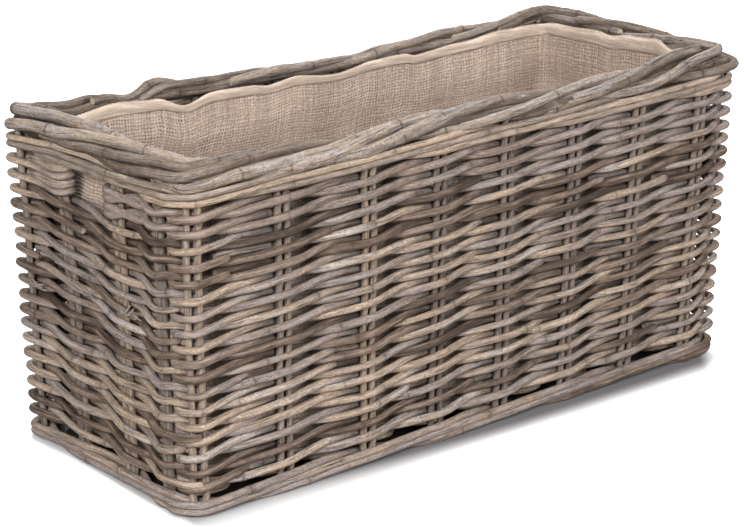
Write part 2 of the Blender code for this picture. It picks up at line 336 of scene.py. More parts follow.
@dataclass(frozen=True)
class RodFinish(Finish):
    """Weathered rattan, whose tone changes from rod to rod and along each."""

    name: str
    tones: tuple[tuple[float, Colour], ...]
    stain: Colour = (0.040, 0.027, 0.018)
    bark_share: float = 0.35
    knot_spacing: float = 0.24
    ring_share: float = 0.32
    halo_share: float = 0.34
    grain_depth: float = 0.0006
    roughness: float = 0.72
    # How much painted shade darkens the rods that lie deep inside the line of stakes, and over which depths
    shelter_share: float = 0.42
    shelter: Span = (-0.001, 0.007)
    ring: Span = (0.0005, 0.0020)
    halo: Span = (0.001, 0.012)
    ring_wobble: float = 0.004
    apart: float = 61.7
    streaks: Grain = Grain(1.6, 12.0, 3.0)
    fibres: Grain = Grain(6.5, 30.0, 4.0, 0.6)
    drift: Grain = Grain(0.0, 5.0)
    blotches: Grain = Grain(0.9, 55.0, 4.0, 0.65)
    marks: Grain = Grain(3.2, 420.0, 2.0, 0.6)
    mottle: Grain = Grain(2.4, 150.0, 3.0, 0.6)

    def paint(self, tree: Tree, shader: bpy.types.Node) -> None:
        """Grain along the rod, blotches, dark rings at the knots and bark speckles, and painted shade deep
        inside the weave.

        Args:
            tree: the material's nodes.
            shader: what they are linked to.
        """
        rod = tree.attribute("rod")
        grains = (self.streaks, self.fibres, self.drift, self.blotches, self.marks, self.mottle)
        streaks, fibres, drift, blotch, marks, mottle = (self._noise(tree, grain) for grain in grains)
        tone = rod * 0.84 + (drift - 0.5) * 0.85 + (streaks - 0.5) * 0.9 + (blotch - 0.5) * 0.4 + 0.08
        colour = tree.node("ShaderNodeValToRGB", {"stops": self.tones}, {0: tone})
        # Painted shade: the deeper inside the line of stakes, the darker the rod
        painted_shade = tree.attribute("depth").rise(*self.shelter)
        light = 1.0 + (fibres - 0.5) * 2.0 + (blotch - 0.5) * 1.4 + (mottle - 0.5) * 1.3
        light = light * (1.0 - painted_shade * self.shelter_share)
        colour = tree.blend(colour, tree.join(light, light, light), 1.0, "MULTIPLY")
        barky = (drift + rod * 0.2).rise(0.62 - self.bark_share * 0.4, 0.70 - self.bark_share * 0.4)
        bark = blotch.rise(0.44, 0.60) * marks.rise(0.48, 0.60) * barky
        colour = tree.blend(colour, self.stain, bark * 0.55)
        cracks = fibres.fall(0.32, 0.41)
        colour = tree.blend(colour, self.stain, cracks * 0.75)
        knot = (tree.attribute("knot").fraction() - 0.5) * self.knot_spacing
        from_knot = abs(knot + (blotch - 0.5) * self.ring_wobble)
        ring = from_knot.fall(*self.ring)
        halo = from_knot.fall(*self.halo) * streaks.rise(0.38, 0.58)
        colour = tree.blend(colour, self.stain, ring * self.ring_share + halo * self.halo_share)
        height = fibres * 1.1 + streaks * 0.6 + marks * bark * 0.8 - cracks * 0.8 - ring * 0.8
        bump = tree.bump(height, 1.0, self.grain_depth)
        rough = self.roughness + (blotch - 0.5) * 0.2
        feed(tree, shader, Base_Color=colour, Roughness=rough, Normal=bump, IOR=1.45)

    def _noise(self, tree: Tree, grain: Grain) -> Value:
        """One of the noises on the rods, whose patterns lie apart from rod to rod."""
        x, y, _ = tree.parts(tree.attribute("girth", "Vector"))
        offset = tree.attribute("rod") * self.apart
        along = tree.attribute("along") * grain.along
        place = tree.join(x * grain.around + offset, y * grain.around, along)
        return tree.noise(place, detail=grain.detail, rough=grain.rough)


@dataclass(frozen=True)
class CutEndFinish(Finish):
    """The pale pith at a rod's cut end."""

    name: str = "rattan_cut_end"
    pith: Colour = (0.43, 0.355, 0.275)
    pores: Colour = (0.16, 0.12, 0.09)
    pore_scale: float = 1800.0
    cloud_scale: float = 300.0

    def paint(self, tree: Tree, shader: bpy.types.Node) -> None:
        """Dark pores in pale wood."""
        place = tree.node("ShaderNodeTexCoord", output="Object")
        dots = tree.noise(place, self.pore_scale)
        cloud = tree.noise(place, self.cloud_scale)
        colour = tree.blend(self.pith, self.pores, dots.rise(0.5, 0.75) * 0.7 + cloud.rise(0.5, 0.8) * 0.4)
        feed(tree, shader, Base_Color=colour, Roughness=0.85)


@dataclass(frozen=True)
class HessianFinish(Finish):
    """A loose plain weave, laid out on the cloth's own lengths."""

    name: str = "hessian_cloth"
    thread: Colour = (0.270, 0.205, 0.163)
    pale_thread: Colour = (0.535, 0.425, 0.345)
    # The colour of the painted shade in the weave's holes and on the bag's outside
    dark: Colour = (0.045, 0.029, 0.021)
    pitch: float = 0.0036
    bend: float = 0.010
    thread_depth: float = 0.0006
    lines: Span = (260.0, 12.0)
    behind_share: float = 0.26
    hand_hole_end: Span = (0.300, 0.320)
    hand_hole_foot: Span = (0.270, 0.278)

    def paint(self, tree: Tree, shader: bpy.types.Node) -> None:
        """Threads over and under each other, with the open holes painted dark as painted shade, painted
        light and shade along soft folds, and painted shade on the bag's outside.

        Args:
            tree: the material's nodes.
            shader: what they are linked to.
        """
        u, v, _ = tree.parts(tree.attribute("cloth", "Vector"))
        place = tree.join(u, v, 0.0)
        bend_u, bend_v, _ = tree.parts(tree.noise(place, 32.0, 3.0, output=1))
        turns = math.pi / self.pitch
        warp = abs(((u + (bend_u - 0.5) * self.bend) * turns).sine())
        weft = abs(((v + (bend_v - 0.5) * self.bend) * turns).sine())
        across, along = self.lines
        u_lines = tree.noise(tree.join(u * across, v * along, 3.0), detail=1.0)
        v_lines = tree.noise(tree.join(u * along, v * across, 8.0), detail=1.0)
        loose = tree.noise(place, 26.0, 3.0)
        crossing = tree.noise(place, 300.0, 1.0)
        open_u = (warp + (u_lines - 0.5) * 0.6).fall(0.38, 0.72)
        open_v = (weft + (v_lines - 0.5) * 0.6).fall(0.38, 0.72)
        openness = 0.5 + (loose - 0.5) * 1.5 + (u_lines - 0.5) * 0.6
        openness = openness + (v_lines - 0.5) * 0.5 + (crossing - 0.5) * 1.2
        # Painted shade: where the weave is open, the holes are painted dark
        gap = open_u * open_v * (0.12 + openness.rise(0.44, 0.62) * 0.68)
        # Painted light and shade: broad upright bands, as on soft folds, lighten and darken the cloth
        folds = tree.noise(tree.join(u * 13.0, v * 3.0, 6.0))
        shade = 0.5 + (u_lines - 0.5) * 1.2 + (v_lines - 0.5) * 0.8
        shade = shade + (crossing - 0.5) * 1.6 + (loose - 0.5) * 0.6
        colour = tree.blend(self.thread, self.pale_thread, shade + (folds - 0.5) * 0.7)
        colour = tree.blend(colour, self.dark, gap)
        # Painted shade: the bag's outside is darkened, as the weave keeps the light off it, but for the
        # hand holes
        x, _, z = tree.parts(tree.node("ShaderNodeTexCoord", output="Object"))
        in_hand_hole = abs(x).rise(*self.hand_hole_end) * z.rise(*self.hand_hole_foot)
        behind = tree.attribute("outside") * (1.0 - in_hand_hole)
        colour = tree.blend(colour, self.dark, behind * self.behind_share)
        bump = tree.bump(warp + weft + u_lines + v_lines - gap * 1.5, 0.7, self.thread_depth)
        feed(tree, shader, Base_Color=colour, Normal=bump, Roughness=0.95)


@dataclass(frozen=True)
class TapeFinish(Finish):
    """The folded cotton tape that binds the liner's top edge."""

    name: str = "binding_tape"
    cloth: Colour = (0.465, 0.376, 0.300)
    shadow: Colour = (0.330, 0.260, 0.205)
    fold: Colour = (0.570, 0.475, 0.372)
    fold_edge: Span = (0.0104, 0.0125)
    crease_depth: float = 0.0022

    def paint(self, tree: Tree, shader: bpy.types.Node) -> None:
        """Fine ribs along the tape and soft creases across it, with painted shade in the creases and a
        painted highlight on their ridges and along the folded top edge.

        Args:
            tree: the material's nodes.
            shader: what they are linked to.
        """
        u, v, _ = tree.parts(tree.attribute("cloth", "Vector"))
        ribs = tree.noise(tree.join(u * 60.0, v * 900.0, 0.0))
        place = tree.join(u * 22.0 + v * 60.0, v * 260.0 - u * 14.0, 5.0)
        creases = tree.noise(place, detail=4.0, rough=0.6)
        puckers = tree.noise(tree.join(u * 110.0, v * 60.0, 2.0))
        # Painted shade in the creases and ribs, and a painted highlight on the crease ridges and the folded
        # top edge
        shade = (creases * 0.8 + ribs * 0.4 - 0.1).rise(0.30, 0.72)
        colour = tree.blend(self.cloth, self.shadow, shade)
        pale = creases.fall(0.38, 0.50) * 0.5 + v.rise(*self.fold_edge) * 0.6
        colour = tree.blend(colour, self.fold, pale)
        bump = tree.bump(ribs * 0.3 + creases + puckers * 0.6, 0.9, self.crease_depth)
        feed(tree, shader, Base_Color=colour, Normal=bump, Roughness=0.9)


@dataclass(frozen=True)
class FloorFinish(Finish):
    """A plain white floor with a painted shadow close to the basket's foot, painted shade under it and a
    painted glow past its right corner.
    """

    name: str = "white_floor"
    seen: Colour = (0.98, 0.98, 0.98)
    thrown_back: Colour = (0.22, 0.21, 0.20)
    # Colours of the painted shadow near the foot and of the painted shade under the basket
    shade: Colour = (0.19, 0.185, 0.19)
    under: Colour = (0.035, 0.028, 0.024)
    foot: Span = (0.358, 0.143)
    shade_reach: float = 0.034
    narrowing: tuple[float, float, float] = (4.0, 2.0, 3.0)
    wider: Span = (-0.25, 0.30)
    wider_share: float = 0.40
    darker: Span = (-0.37, 0.10)
    darker_share: float = 0.55
    under_inset: float = 0.035
    under_fade: Span = (0.018, 0.025)
    picture_way: Span = (0.735, 0.597)
    past_corner: Span = (0.338, 0.360)
    glow_strength: float = 0.8

    def paint(self, tree: Tree, shader: bpy.types.Node) -> None:
        """White to the camera but for the painted shadow and shade, with a painted glow past the right
        corner, and darker in the light that it throws back.

        Args:
            tree: the material's nodes.
            shader: what they are linked to.
        """
        x, y, _ = tree.parts(tree.node("ShaderNodeTexCoord", output="Object"))
        # Painted shadow: the floor is darkened within a reach of the foot, longest and darkest in front
        # towards the right
        half_length, half_width = self.foot
        narrow_right, narrow_left, narrow_rear = self.narrowing
        right = (x - half_length).most(0.0) * narrow_right
        left = (-1.0 * x - half_length).most(0.0) * narrow_left
        front = (-1.0 * y - half_width).most(0.0)
        rear = (y - half_width).most(0.0) * narrow_rear
        away = ((right + left) ** 2.0 + (front + rear) ** 2.0) ** 0.5
        reach = self.shade_reach * (1.0 + x.rise(*self.wider) * self.wider_share)
        strength = (1.0 - self.darker_share) + x.rise(*self.darker) * self.darker_share
        dark = (1.0 - away / reach).most(0.0) * strength
        lit = tree.blend(self.seen, self.shade, dark.rise(0.0, 0.75))
        # Painted shade on the floor under the basket
        inner_x = (abs(x) - half_length + self.under_inset).most(0.0)
        inner_y = (abs(y) - half_width + self.under_inset).most(0.0)
        from_under = (inner_x**2.0 + inner_y**2.0) ** 0.5
        lit = tree.blend(lit, self.under, from_under.fall(*self.under_fade))
        camera_ray = tree.node("ShaderNodeLightPath", output="Is Camera Ray")
        colour = tree.blend(self.thrown_back, lit, camera_ray)
        # Painted light: past the basket's right corner the floor glows white to the camera, hiding the
        # shadow there
        past_corner = (x * self.picture_way[0] - y * self.picture_way[1]).rise(*self.past_corner)
        painted_glow = tree.blend((0.0, 0.0, 0.0), (1.0, 1.0, 1.0), past_corner * camera_ray)
        feed(tree, shader, Base_Color=colour, Emission_Color=painted_glow, Emission_Strength=self.glow_strength)
        feed(tree, shader, Roughness=1.0, Specular_IOR_Level=0.0)


GREY_TONES = (
    (0.0, (0.060, 0.040, 0.029)),
    (0.15, (0.128, 0.088, 0.065)),
    (0.32, (0.220, 0.160, 0.124)),
    (0.50, (0.272, 0.212, 0.179)),
    (0.64, (0.298, 0.256, 0.244)),
    (0.78, (0.330, 0.246, 0.184)),
    (0.90, (0.425, 0.324, 0.236)),
    (1.0, (0.412, 0.356, 0.331)),
)
PALE_TONES = (
    (0.0, (0.205, 0.158, 0.125)),
    (0.3, (0.290, 0.232, 0.190)),
    (0.6, (0.385, 0.294, 0.222)),
    (0.85, (0.430, 0.323, 0.235)),
    (1.0, (0.500, 0.405, 0.315)),
)
# The stakes are darker than the pale rods: partly their own tone, partly painted shade, as they stand
# behind the strands
STAKE_AND_SHADE_TONES = (
    (0.0, (0.122, 0.091, 0.073)),
    (0.35, (0.200, 0.158, 0.134)),
    (0.65, (0.262, 0.204, 0.162)),
    (1.0, (0.340, 0.258, 0.181)),
)
BARK_TONES = (
    (0.0, (0.062, 0.044, 0.033)),
    (0.22, (0.146, 0.108, 0.083)),
    (0.45, (0.210, 0.164, 0.132)),
    (0.62, (0.246, 0.211, 0.200)),
    (0.8, (0.304, 0.232, 0.172)),
    (1.0, (0.316, 0.284, 0.275)),
)
GREY_ROD = RodFinish("grey_rod", GREY_TONES)
PALE_ROD = RodFinish("pale_rod", PALE_TONES, bark_share=0.25)
STAKE_ROD = RodFinish("stake_rod", STAKE_AND_SHADE_TONES, bark_share=0.1, knot_spacing=0.22)
BARK_ROD = RodFinish(
    "bark_rod", BARK_TONES, bark_share=0.8, knot_spacing=0.15, ring_share=0.45, grain_depth=0.0009
)
CUT_END = CutEndFinish()


# Rods swept along guides


@dataclass(frozen=True)
class Rod:
    """One rod: the smooth line of its middle, its thickness and its tone, drawn at random unless chosen."""

    line: list[Vector]
    thickness: float
    tone: float | None = None


def smooth_line(points: Sequence[Vector], step: float) -> list[Vector]:
    """A centripetal curve through the points.

    Args:
        points: what the curve goes through, at least two.
        step: about how far apart the curve's points lie.

    Returns:
        The curve's points.
    """
    ends = [points[0] * 2 - points[1], *points, points[-1] * 2 - points[-2]]
    line = [points[0].copy()]
    for a, b, c, d in zip(ends, ends[1:], ends[2:], ends[3:]):
        t1 = (b - a).length ** 0.5
        t2 = t1 + (c - b).length ** 0.5
        t3 = t2 + (d - c).length ** 0.5
        count = max(2, round((c - b).length / step))
        for number in range(1, count + 1):
            t = t1 + (t2 - t1) * number / count
            ab = a.lerp(b, t / t1)
            bc = b.lerp(c, (t - t1) / (t2 - t1))
            cd = c.lerp(d, (t - t2) / (t3 - t2))
            first = ab.lerp(bc, t / t2)
            second = bc.lerp(cd, (t - t1) / (t3 - t1))
            line.append(first.lerp(second, (t - t1) / (t2 - t1)))
    return line


def eased(profile: Profile, where: float) -> float:
    """The height of a profile here.

    Args:
        profile: (place, height) points.
        where: the place.

    Returns:
        The height, eased from each point to the next and even beyond the ends.
    """
    if where <= profile[0][0]:
        return profile[0][1]
    for (left, low), (right, high) in zip(profile, profile[1:]):
        if where <= right:
            share = (where - left) / (right - left)
            return low + (high - low) * share * share * (3 - 2 * share)
    return profile[-1][1]


def placed(name: str, data: bpy.types.ID) -> bpy.types.Object:
    """An object of this name and data, in the scene."""
    made = bpy.data.objects.new(name, data)
    bpy.context.scene.collection.objects.link(made)
    return made


def bake(piece: bpy.types.Object) -> None:
    """Turns a piece with its modifier into a plain mesh.

    Args:
        piece: the piece.
    """
    bpy.context.view_layer.update()
    graph = bpy.context.evaluated_depsgraph_get()
    live = piece.evaluated_get(graph)
    mesh = bpy.data.meshes.new_from_object(live, preserve_all_data_layers=True, depsgraph=graph)
    piece.modifiers.clear()
    piece.data = mesh
    mesh.name = piece.name


@dataclass(frozen=True)
class Sweep:
    """How a kind of rod is swept: its facets, how uneven it is and how it wanders."""

    sides: int = 10
    step: float = 0.0035
    unevenness: float = 0.14
    wander: float = 0.0015
    wander_length: float = 0.055
    knot_swell: float = 0.14
    sway: float = 1.0
    sway_scale: Place = (8.0, 8.0, 15.0)
    sway_reach: Place = (0.006, 0.006, 0.011)
    sway_start: Span = (0.015, 0.07)
    swell_reach: float = 0.007
    rounding: Span = (-0.0015, 0.0012)

    def tree(self, seed: int, rod: bpy.types.Material, cut: bpy.types.Material) -> bpy.types.NodeTree:
        """Builds the tree that turns guide edges into rods.

        Args:
            seed: what the random wander starts from; not used here, as the tree's Seed input carries it.
            rod: the finish of the rod's side.
            cut: the finish of its cut ends.

        Returns:
            The geometry node tree, with named inputs for its sizes.
        """
        tree = Tree(bpy.data.node_groups.new("rod_sweep", "GeometryNodeTree"))
        given = self._inlet(tree)
        curve = tree.node("GeometryNodeMeshToCurve", None, {0: given["Geometry"]})
        inputs = {"Curve": curve, "Length": given["Step"]}
        curve = tree.node("GeometryNodeResampleCurve", {"mode": "LENGTH"}, inputs)
        along = tree.node("GeometryNodeSplineParameter", output="Length")
        tone = self._named(tree, "rod")
        inputs = {"Geometry": curve, "Offset": self._offset(tree, given, along, tone)}
        curve = tree.node("GeometryNodeSetPosition", None, inputs)
        drift = tree.noise(tree.join(along * 1.3, tone * 77.0, 4.0), detail=1.0) * 0.35
        knot = along / given["Knot spacing"] + tone * 7.3 + drift
        radius = self._radius(tree, given, along, tone, knot)
        for name, value in (("along", along), ("knot", knot)):
            curve = self._store(tree, curve, name, value, "FLOAT")
        inputs = {"Resolution": given["Sides"], "Radius": 1.0}
        profile = tree.node("GeometryNodeCurvePrimitiveCircle", None, inputs)
        place = tree.node("GeometryNodeInputPosition")
        profile = self._store(tree, profile, "girth", place, "FLOAT_VECTOR")
        inputs = {"Curve": curve, "Profile Curve": profile, "Scale": radius, "Fill Caps": True}
        skin = tree.node("GeometryNodeCurveToMesh", None, inputs)
        tree.node("NodeGroupOutput", None, {0: self._dressed(tree, skin, rod, cut)})
        return tree.nodes

    @staticmethod
    def _inlet(tree: Tree) -> dict[str, Value]:
        """Gives the tree its inputs and its output.

        Args:
            tree: the tree.

        Returns:
            The inputs, by name.
        """
        face = tree.nodes.interface
        face.new_socket("Geometry", in_out="INPUT", socket_type="NodeSocketGeometry")
        sizes = ("Step", "Unevenness", "Wander", "Wander length", "Knot spacing", "Knot swell", "Sway")
        for name in sizes:
            face.new_socket(name, in_out="INPUT", socket_type="NodeSocketFloat")
        face.new_socket("Sides", in_out="INPUT", socket_type="NodeSocketInt")
        face.new_socket("Seed", in_out="INPUT", socket_type="NodeSocketFloat")
        face.new_socket("Geometry", in_out="OUTPUT", socket_type="NodeSocketGeometry")
        inlet = tree.nodes.nodes.new("NodeGroupInput")
        return {socket.name: Value(tree, socket) for socket in inlet.outputs}

    def _offset(self, tree: Tree, given: dict[str, Value], along: Value, tone: Value) -> Value:
        """How far the points move: with the whole basket, alike for all that touches, and rod by rod.

        Args:
            tree: the tree.
            given: its inputs.
            along: how far along the rod a point is.
            tone: the rod's tone.

        Returns:
            The way that each point moves.
        """
        half = (0.5, 0.5, 0.5)
        place = tree.node("GeometryNodeInputPosition")
        above_foot = tree.parts(place)[2].rise(*self.sway_start)
        sway = tree.noise(tree.vectors("MULTIPLY", place, self.sway_scale), detail=1.0, output=1)
        sway = tree.vectors("SUBTRACT", sway, half)
        sway = tree.vectors("MULTIPLY", sway, self.sway_reach)
        sway = tree.scaled(sway, above_foot * given["Sway"])
        own = tree.join(along / given["Wander length"], tone * 91.0, given["Seed"])
        own = tree.vectors("SUBTRACT", tree.noise(own, detail=1.5, output=1), half)
        own = tree.scaled(own, given["Wander"] * 2.0)
        return tree.vectors("ADD", sway, own)

    def _radius(
        self, tree: Tree, given: dict[str, Value], along: Value, tone: Value, knot: Value
    ) -> Value:
        """Half the thickness: uneven, swollen at the knots and a little rounded at the ends.

        Args:
            tree: the tree.
            given: its inputs.
            along: how far along the rod a point is.
            tone: the rod's tone.
            knot: the knots passed so far.

        Returns:
            The radius at each point.
        """
        length = tree.node("GeometryNodeSplineLength", output="Length")
        uneven = tree.noise(tree.join(along * 28.0, tone * 47.0, given["Seed"])) - 0.5
        from_knot = abs(knot.fraction() - 0.5) * given["Knot spacing"]
        swell = from_knot.fall(0.0, self.swell_reach) * given["Knot swell"]
        near_end = along.least(length - along)
        rounded = near_end.rise(*self.rounding) * 0.5 + 0.5
        half = self._named(tree, "thickness") * 0.5
        return half * (1.0 + uneven * given["Unevenness"] * 2.0 + swell) * rounded

    @staticmethod
    def _dressed(tree: Tree, skin: Value, rod: bpy.types.Material, cut: bpy.types.Material) -> Value:
        """The skins with smooth sides, flat ends and a finish on each.

        Args:
            tree: the tree.
            skin: the swept skins.
            rod: the finish of the sides.
            cut: the finish of the ends.

        Returns:
            The finished skins.
        """
        corners = tree.node("GeometryNodeInputMeshFaceNeighbors", output="Vertex Count")
        settings = {"data_type": "INT", "operation": "GREATER_THAN"}
        is_cap = tree.node("FunctionNodeCompare", settings, {2: corners, 3: 4})
        is_side = tree.node("FunctionNodeBooleanMath", {"operation": "NOT"}, {0: is_cap})
        skin = tree.node("GeometryNodeSetShadeSmooth", None, {0: skin, "Shade Smooth": is_side})
        skin = tree.node("GeometryNodeRealizeInstances", None, {0: skin})
        skin = tree.node("GeometryNodeSetMaterial", None, {"Geometry": skin, "Material": rod})
        inputs = {"Geometry": skin, "Selection": is_cap, "Material": cut}
        return tree.node("GeometryNodeSetMaterial", None, inputs)

    @staticmethod
    def _named(tree: Tree, name: str) -> Value:
        """An attribute of the guide, in a geometry tree."""
        return tree.node("GeometryNodeInputNamedAttribute", {"data_type": "FLOAT"}, {"Name": name})

    @staticmethod
    def _store(tree: Tree, geometry: Value, name: str, value: Value, kind: str) -> Value:
        """Keeps a value on the points, for the finishes to read."""
        inputs = {"Geometry": geometry, "Name": name, "Value": value}
        return tree.node("GeometryNodeStoreNamedAttribute", {"data_type": kind, "domain": "POINT"}, inputs)

    def make(
        self,
        name: str,
        rods: Sequence[Rod],
        finish: RodFinish,
        seed: int,
        depth: Callable[[Vector], float] | None = None,
    ) -> bpy.types.Object:
        """Sweeps the rods into one piece.

        Args:
            name: the piece's name.
            rods: what it is made of.
            finish: the look of the rods' sides.
            seed: what the random tones and wander start from.
            depth: tells how far inside the weave a place is, where the light hardly comes; the finish
                darkens it there as painted shade.

        Returns:
            The piece, a plain mesh.
        """
        guide = bpy.data.meshes.new(name + "_guide")
        places = [place for rod in rods for place in rod.line]
        edges = []
        start = 0
        for rod in rods:
            edges += [(start + number, start + number + 1) for number in range(len(rod.line) - 1)]
            start += len(rod.line)
        guide.from_pydata([tuple(place) for place in places], edges, [])
        draw = random.Random(seed)
        tones = [draw.random() if rod.tone is None else rod.tone for rod in rods]
        for key, values in (("rod", tones), ("thickness", [rod.thickness for rod in rods])):
            kept = guide.attributes.new(key, "FLOAT", "POINT")
            spread = [value for value, rod in zip(values, rods) for _ in rod.line]
            kept.data.foreach_set("value", spread)
        kept = guide.attributes.new("depth", "FLOAT", "POINT")
        kept.data.foreach_set("value", [depth(place) if depth else -1.0 for place in places])
        piece = placed(name, guide)
        modifier = piece.modifiers.new("sweep", "NODES")
        modifier.node_group = self.tree(seed, finish.build(), CUT_END.build())
        given = {
            "Step": self.step,
            "Unevenness": self.unevenness,
            "Wander": self.wander,
            "Wander length": self.wander_length,
            "Knot spacing": finish.knot_spacing,
            "Knot swell": self.knot_swell,
            "Sway": self.sway,
            "Sides": self.sides,
            "Seed": float(seed),
        }
        for socket in modifier.node_group.interface.items_tree:
            if socket.name in given:
                modifier[socket.identifier] = given[socket.name]
        bake(piece)
        return piece


def hand_over(piece: bpy.types.Object, slot: Slot, replaced: Iterable[str]) -> None:
    """Fixes a piece to the basket.

    Args:
        piece: the piece.
        slot: what it is made of; not used.
        replaced: the solids that it stands for.
    """
    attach(piece, "root")
    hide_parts(*replaced)
    LOG.info("%s: %d faces", piece.name, len(piece.data.polygons))


# The stakes and what is woven round them


# How far the stakes beside two corners lean out, at the foot and at the top
CORNER_LEANS = {
    8: (Vector((0.0040, -0.0080, 0.0)), Vector((0.0050, -0.0095, 0.0))),
    20: (Vector((-0.0025, 0.0060, 0.0)), Vector((-0.0055, 0.0095, 0.0))),
}


@dataclass
class StakeLine:
    """The line of stakes that all rods go round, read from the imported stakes."""

    tracks: list[list[Vector]]
    gap: float = 0.0003
    leg_thickness: float = 0.0073
    leg_gap: float = 0.0032
    right_stake: int = 9
    turned_stretches: tuple[int, ...] = (8, 9, 10, 20, 21, 22)
    bulge: dict[int, float] = field(default_factory=lambda: {7: 1.1, 8: 1.35, 19: 1.1, 20: 1.35})
    usual_bulge: float = 1.04
    straight_share: float = 0.75
    edges: dict[float, list[tuple[Vector, float]]] = field(default_factory=dict)

    @classmethod
    def read(cls, nodes: dict[str, bpy.types.Object]) -> StakeLine:
        """Finds the middle of every stake at several heights.

        Args:
            nodes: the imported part's nodes.

        Returns:
            The line of stakes.
        """
        names = sorted(name for name in nodes if name.startswith("stake_"))
        tracks = [cls._track(nodes[name]) for name in names]
        for index, (foot, top) in CORNER_LEANS.items():
            height = tracks[index][-1].z
            tracks[index] = [place + foot.lerp(top, place.z / height) for place in tracks[index]]
        return cls(tracks)

    @staticmethod
    def _track(node: bpy.types.Object, parting: float = 0.010) -> list[Vector]:
        """The mean place of each level of a stake's points, lowest first.

        Args:
            node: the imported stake.
            parting: the least height between two levels.

        Returns:
            The places.
        """
        places = sorted((vertex.co.copy() for vertex in node.data.vertices), key=lambda place: place.z)
        levels = [[places[0]]]
        for place in places[1:]:
            if place.z - levels[-1][-1].z > parting:
                levels.append([])
            levels[-1].append(place)
        middles = []
        for level in levels:
            low = Vector(map(min, *level))
            high = Vector(map(max, *level))
            middles.append((low + high) / 2)
        return middles

    @property
    def count(self) -> int:
        """How many stakes there are."""
        return len(self.tracks)

    @property
    def leg_offset(self) -> float:
        """From the middle of a stake to the middle of either of its legs."""
        return (self.leg_thickness + self.leg_gap) / 2

    def place(self, index: int, height: float) -> Vector:
        """The middle of a stake at this height.

        Args:
            index: the stake.
            height: where along it.

        Returns:
            The place.
        """
        track = self.tracks[index % self.count]
        low, high = track[0], track[-1]
        for below, above in zip(track, track[1:]):
            if below.z <= height <= above.z:
                low, high = below, above
        share = (height - low.z) / (high.z - low.z)
        found = low.lerp(high, share)
        found.z = height
        return found

    def right(self, height: float) -> float:
        """How far out the right wall's stakes stand at this height."""
        return self.place(self.right_stake, height).x

    def side(self, index: int, height: float) -> Vector:
        """The level way from this stake to the next."""
        return (self.place(index + 1, height) - self.place(index, height)).normalized()

    def out(self, index: int, height: float) -> Vector:
        """Out of the basket, halving the corner that the line makes at this stake."""
        return (self.side(index - 1, height) + self.side(index, height)).normalized().cross(UP)

    def along(self, index: int, height: float) -> Vector:
        """The level way along the wall at this stake."""
        return UP.cross(self.out(index, height))

    def middle(self, index: int, height: float) -> Vector:
        """Halfway from this stake to the next, on a smooth curve through the stakes.

        Args:
            index: the stake.
            height: where along it.

        Returns:
            The place.
        """
        near = self.place(index, height) + self.place(index + 1, height)
        far = self.place(index - 1, height) + self.place(index + 2, height)
        # The value of a cubic through four even points, halfway between the inner two
        return near / 2 + (near - far) / 16

    def between(self, index: int, height: float, share: float) -> Vector:
        """A place between this stake and the next, on the bulged line.

        Args:
            index: the stake.
            height: where along it.
            share: how much of the way.

        Returns:
            The place.
        """
        straight = self.place(index, height).lerp(self.place(index + 1, height), share)
        bulge = self.middle(index, height) - (self.place(index, height) + self.place(index + 1, height)) / 2
        return straight + bulge * (4 * share * (1 - share))

    def outward(self, index: int, height: float) -> Vector:
        """Square out from the stretch between this stake and the next."""
        return self.side(index, height).cross(UP)

    def inset(self, index: int, height: float, distance: float) -> Vector:
        """A corner of the line's outline moved in by this distance."""
        mitre = self.out(index, height).dot(self.outward(index, height))
        return self.place(index, height) - self.out(index, height) * (distance / mitre)

    def depth(self, place: Vector) -> float:
        """How far inside the line of stakes a place is, or less than nothing outside it.

        Args:
            place: the place.

        Returns:
            The distance.
        """
        level = round(place.z, 2)
        if level not in self.edges:
            ways = [self.outward(index, level) for index in range(self.count)]
            reaches = [way.dot(self.place(index, level)) for index, way in enumerate(ways)]
            self.edges[level] = list(zip(ways, reaches))
        return min(reach - way.dot(place) for way, reach in self.edges[level])

    def clearance(self, thickness: float) -> float:
        """From the middle of a leg to the middle of a rod of this thickness that passes it."""
        return (self.leg_thickness + thickness) / 2 + self.gap

    def passing(
        self, index: int, height: float, thickness: float, facing: int, slope: float = 0.0
    ) -> list[Vector]:
        """The middle of a rod where it passes both legs of a stake.

        Args:
            index: the stake.
            height: where along it.
            thickness: of the rod.
            facing: 1 outside, -1 inside.
            slope: how steeply it climbs there.

        Returns:
            Two places, one at each leg.
        """
        bulge = self.bulge.get(index % self.count, self.usual_bulge) if facing > 0 else self.usual_bulge
        stand = facing * self.clearance(thickness) * bulge
        middle = self.place(index, height) + self.out(index, height) * stand
        leg = (self.along(index, height) + UP * slope) * (self.leg_offset * self.straight_share)
        return [middle - leg, middle + leg]


def level_of(node: str) -> float:
    """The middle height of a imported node."""
    low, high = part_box(node)
    return (low.z + high.z) / 2


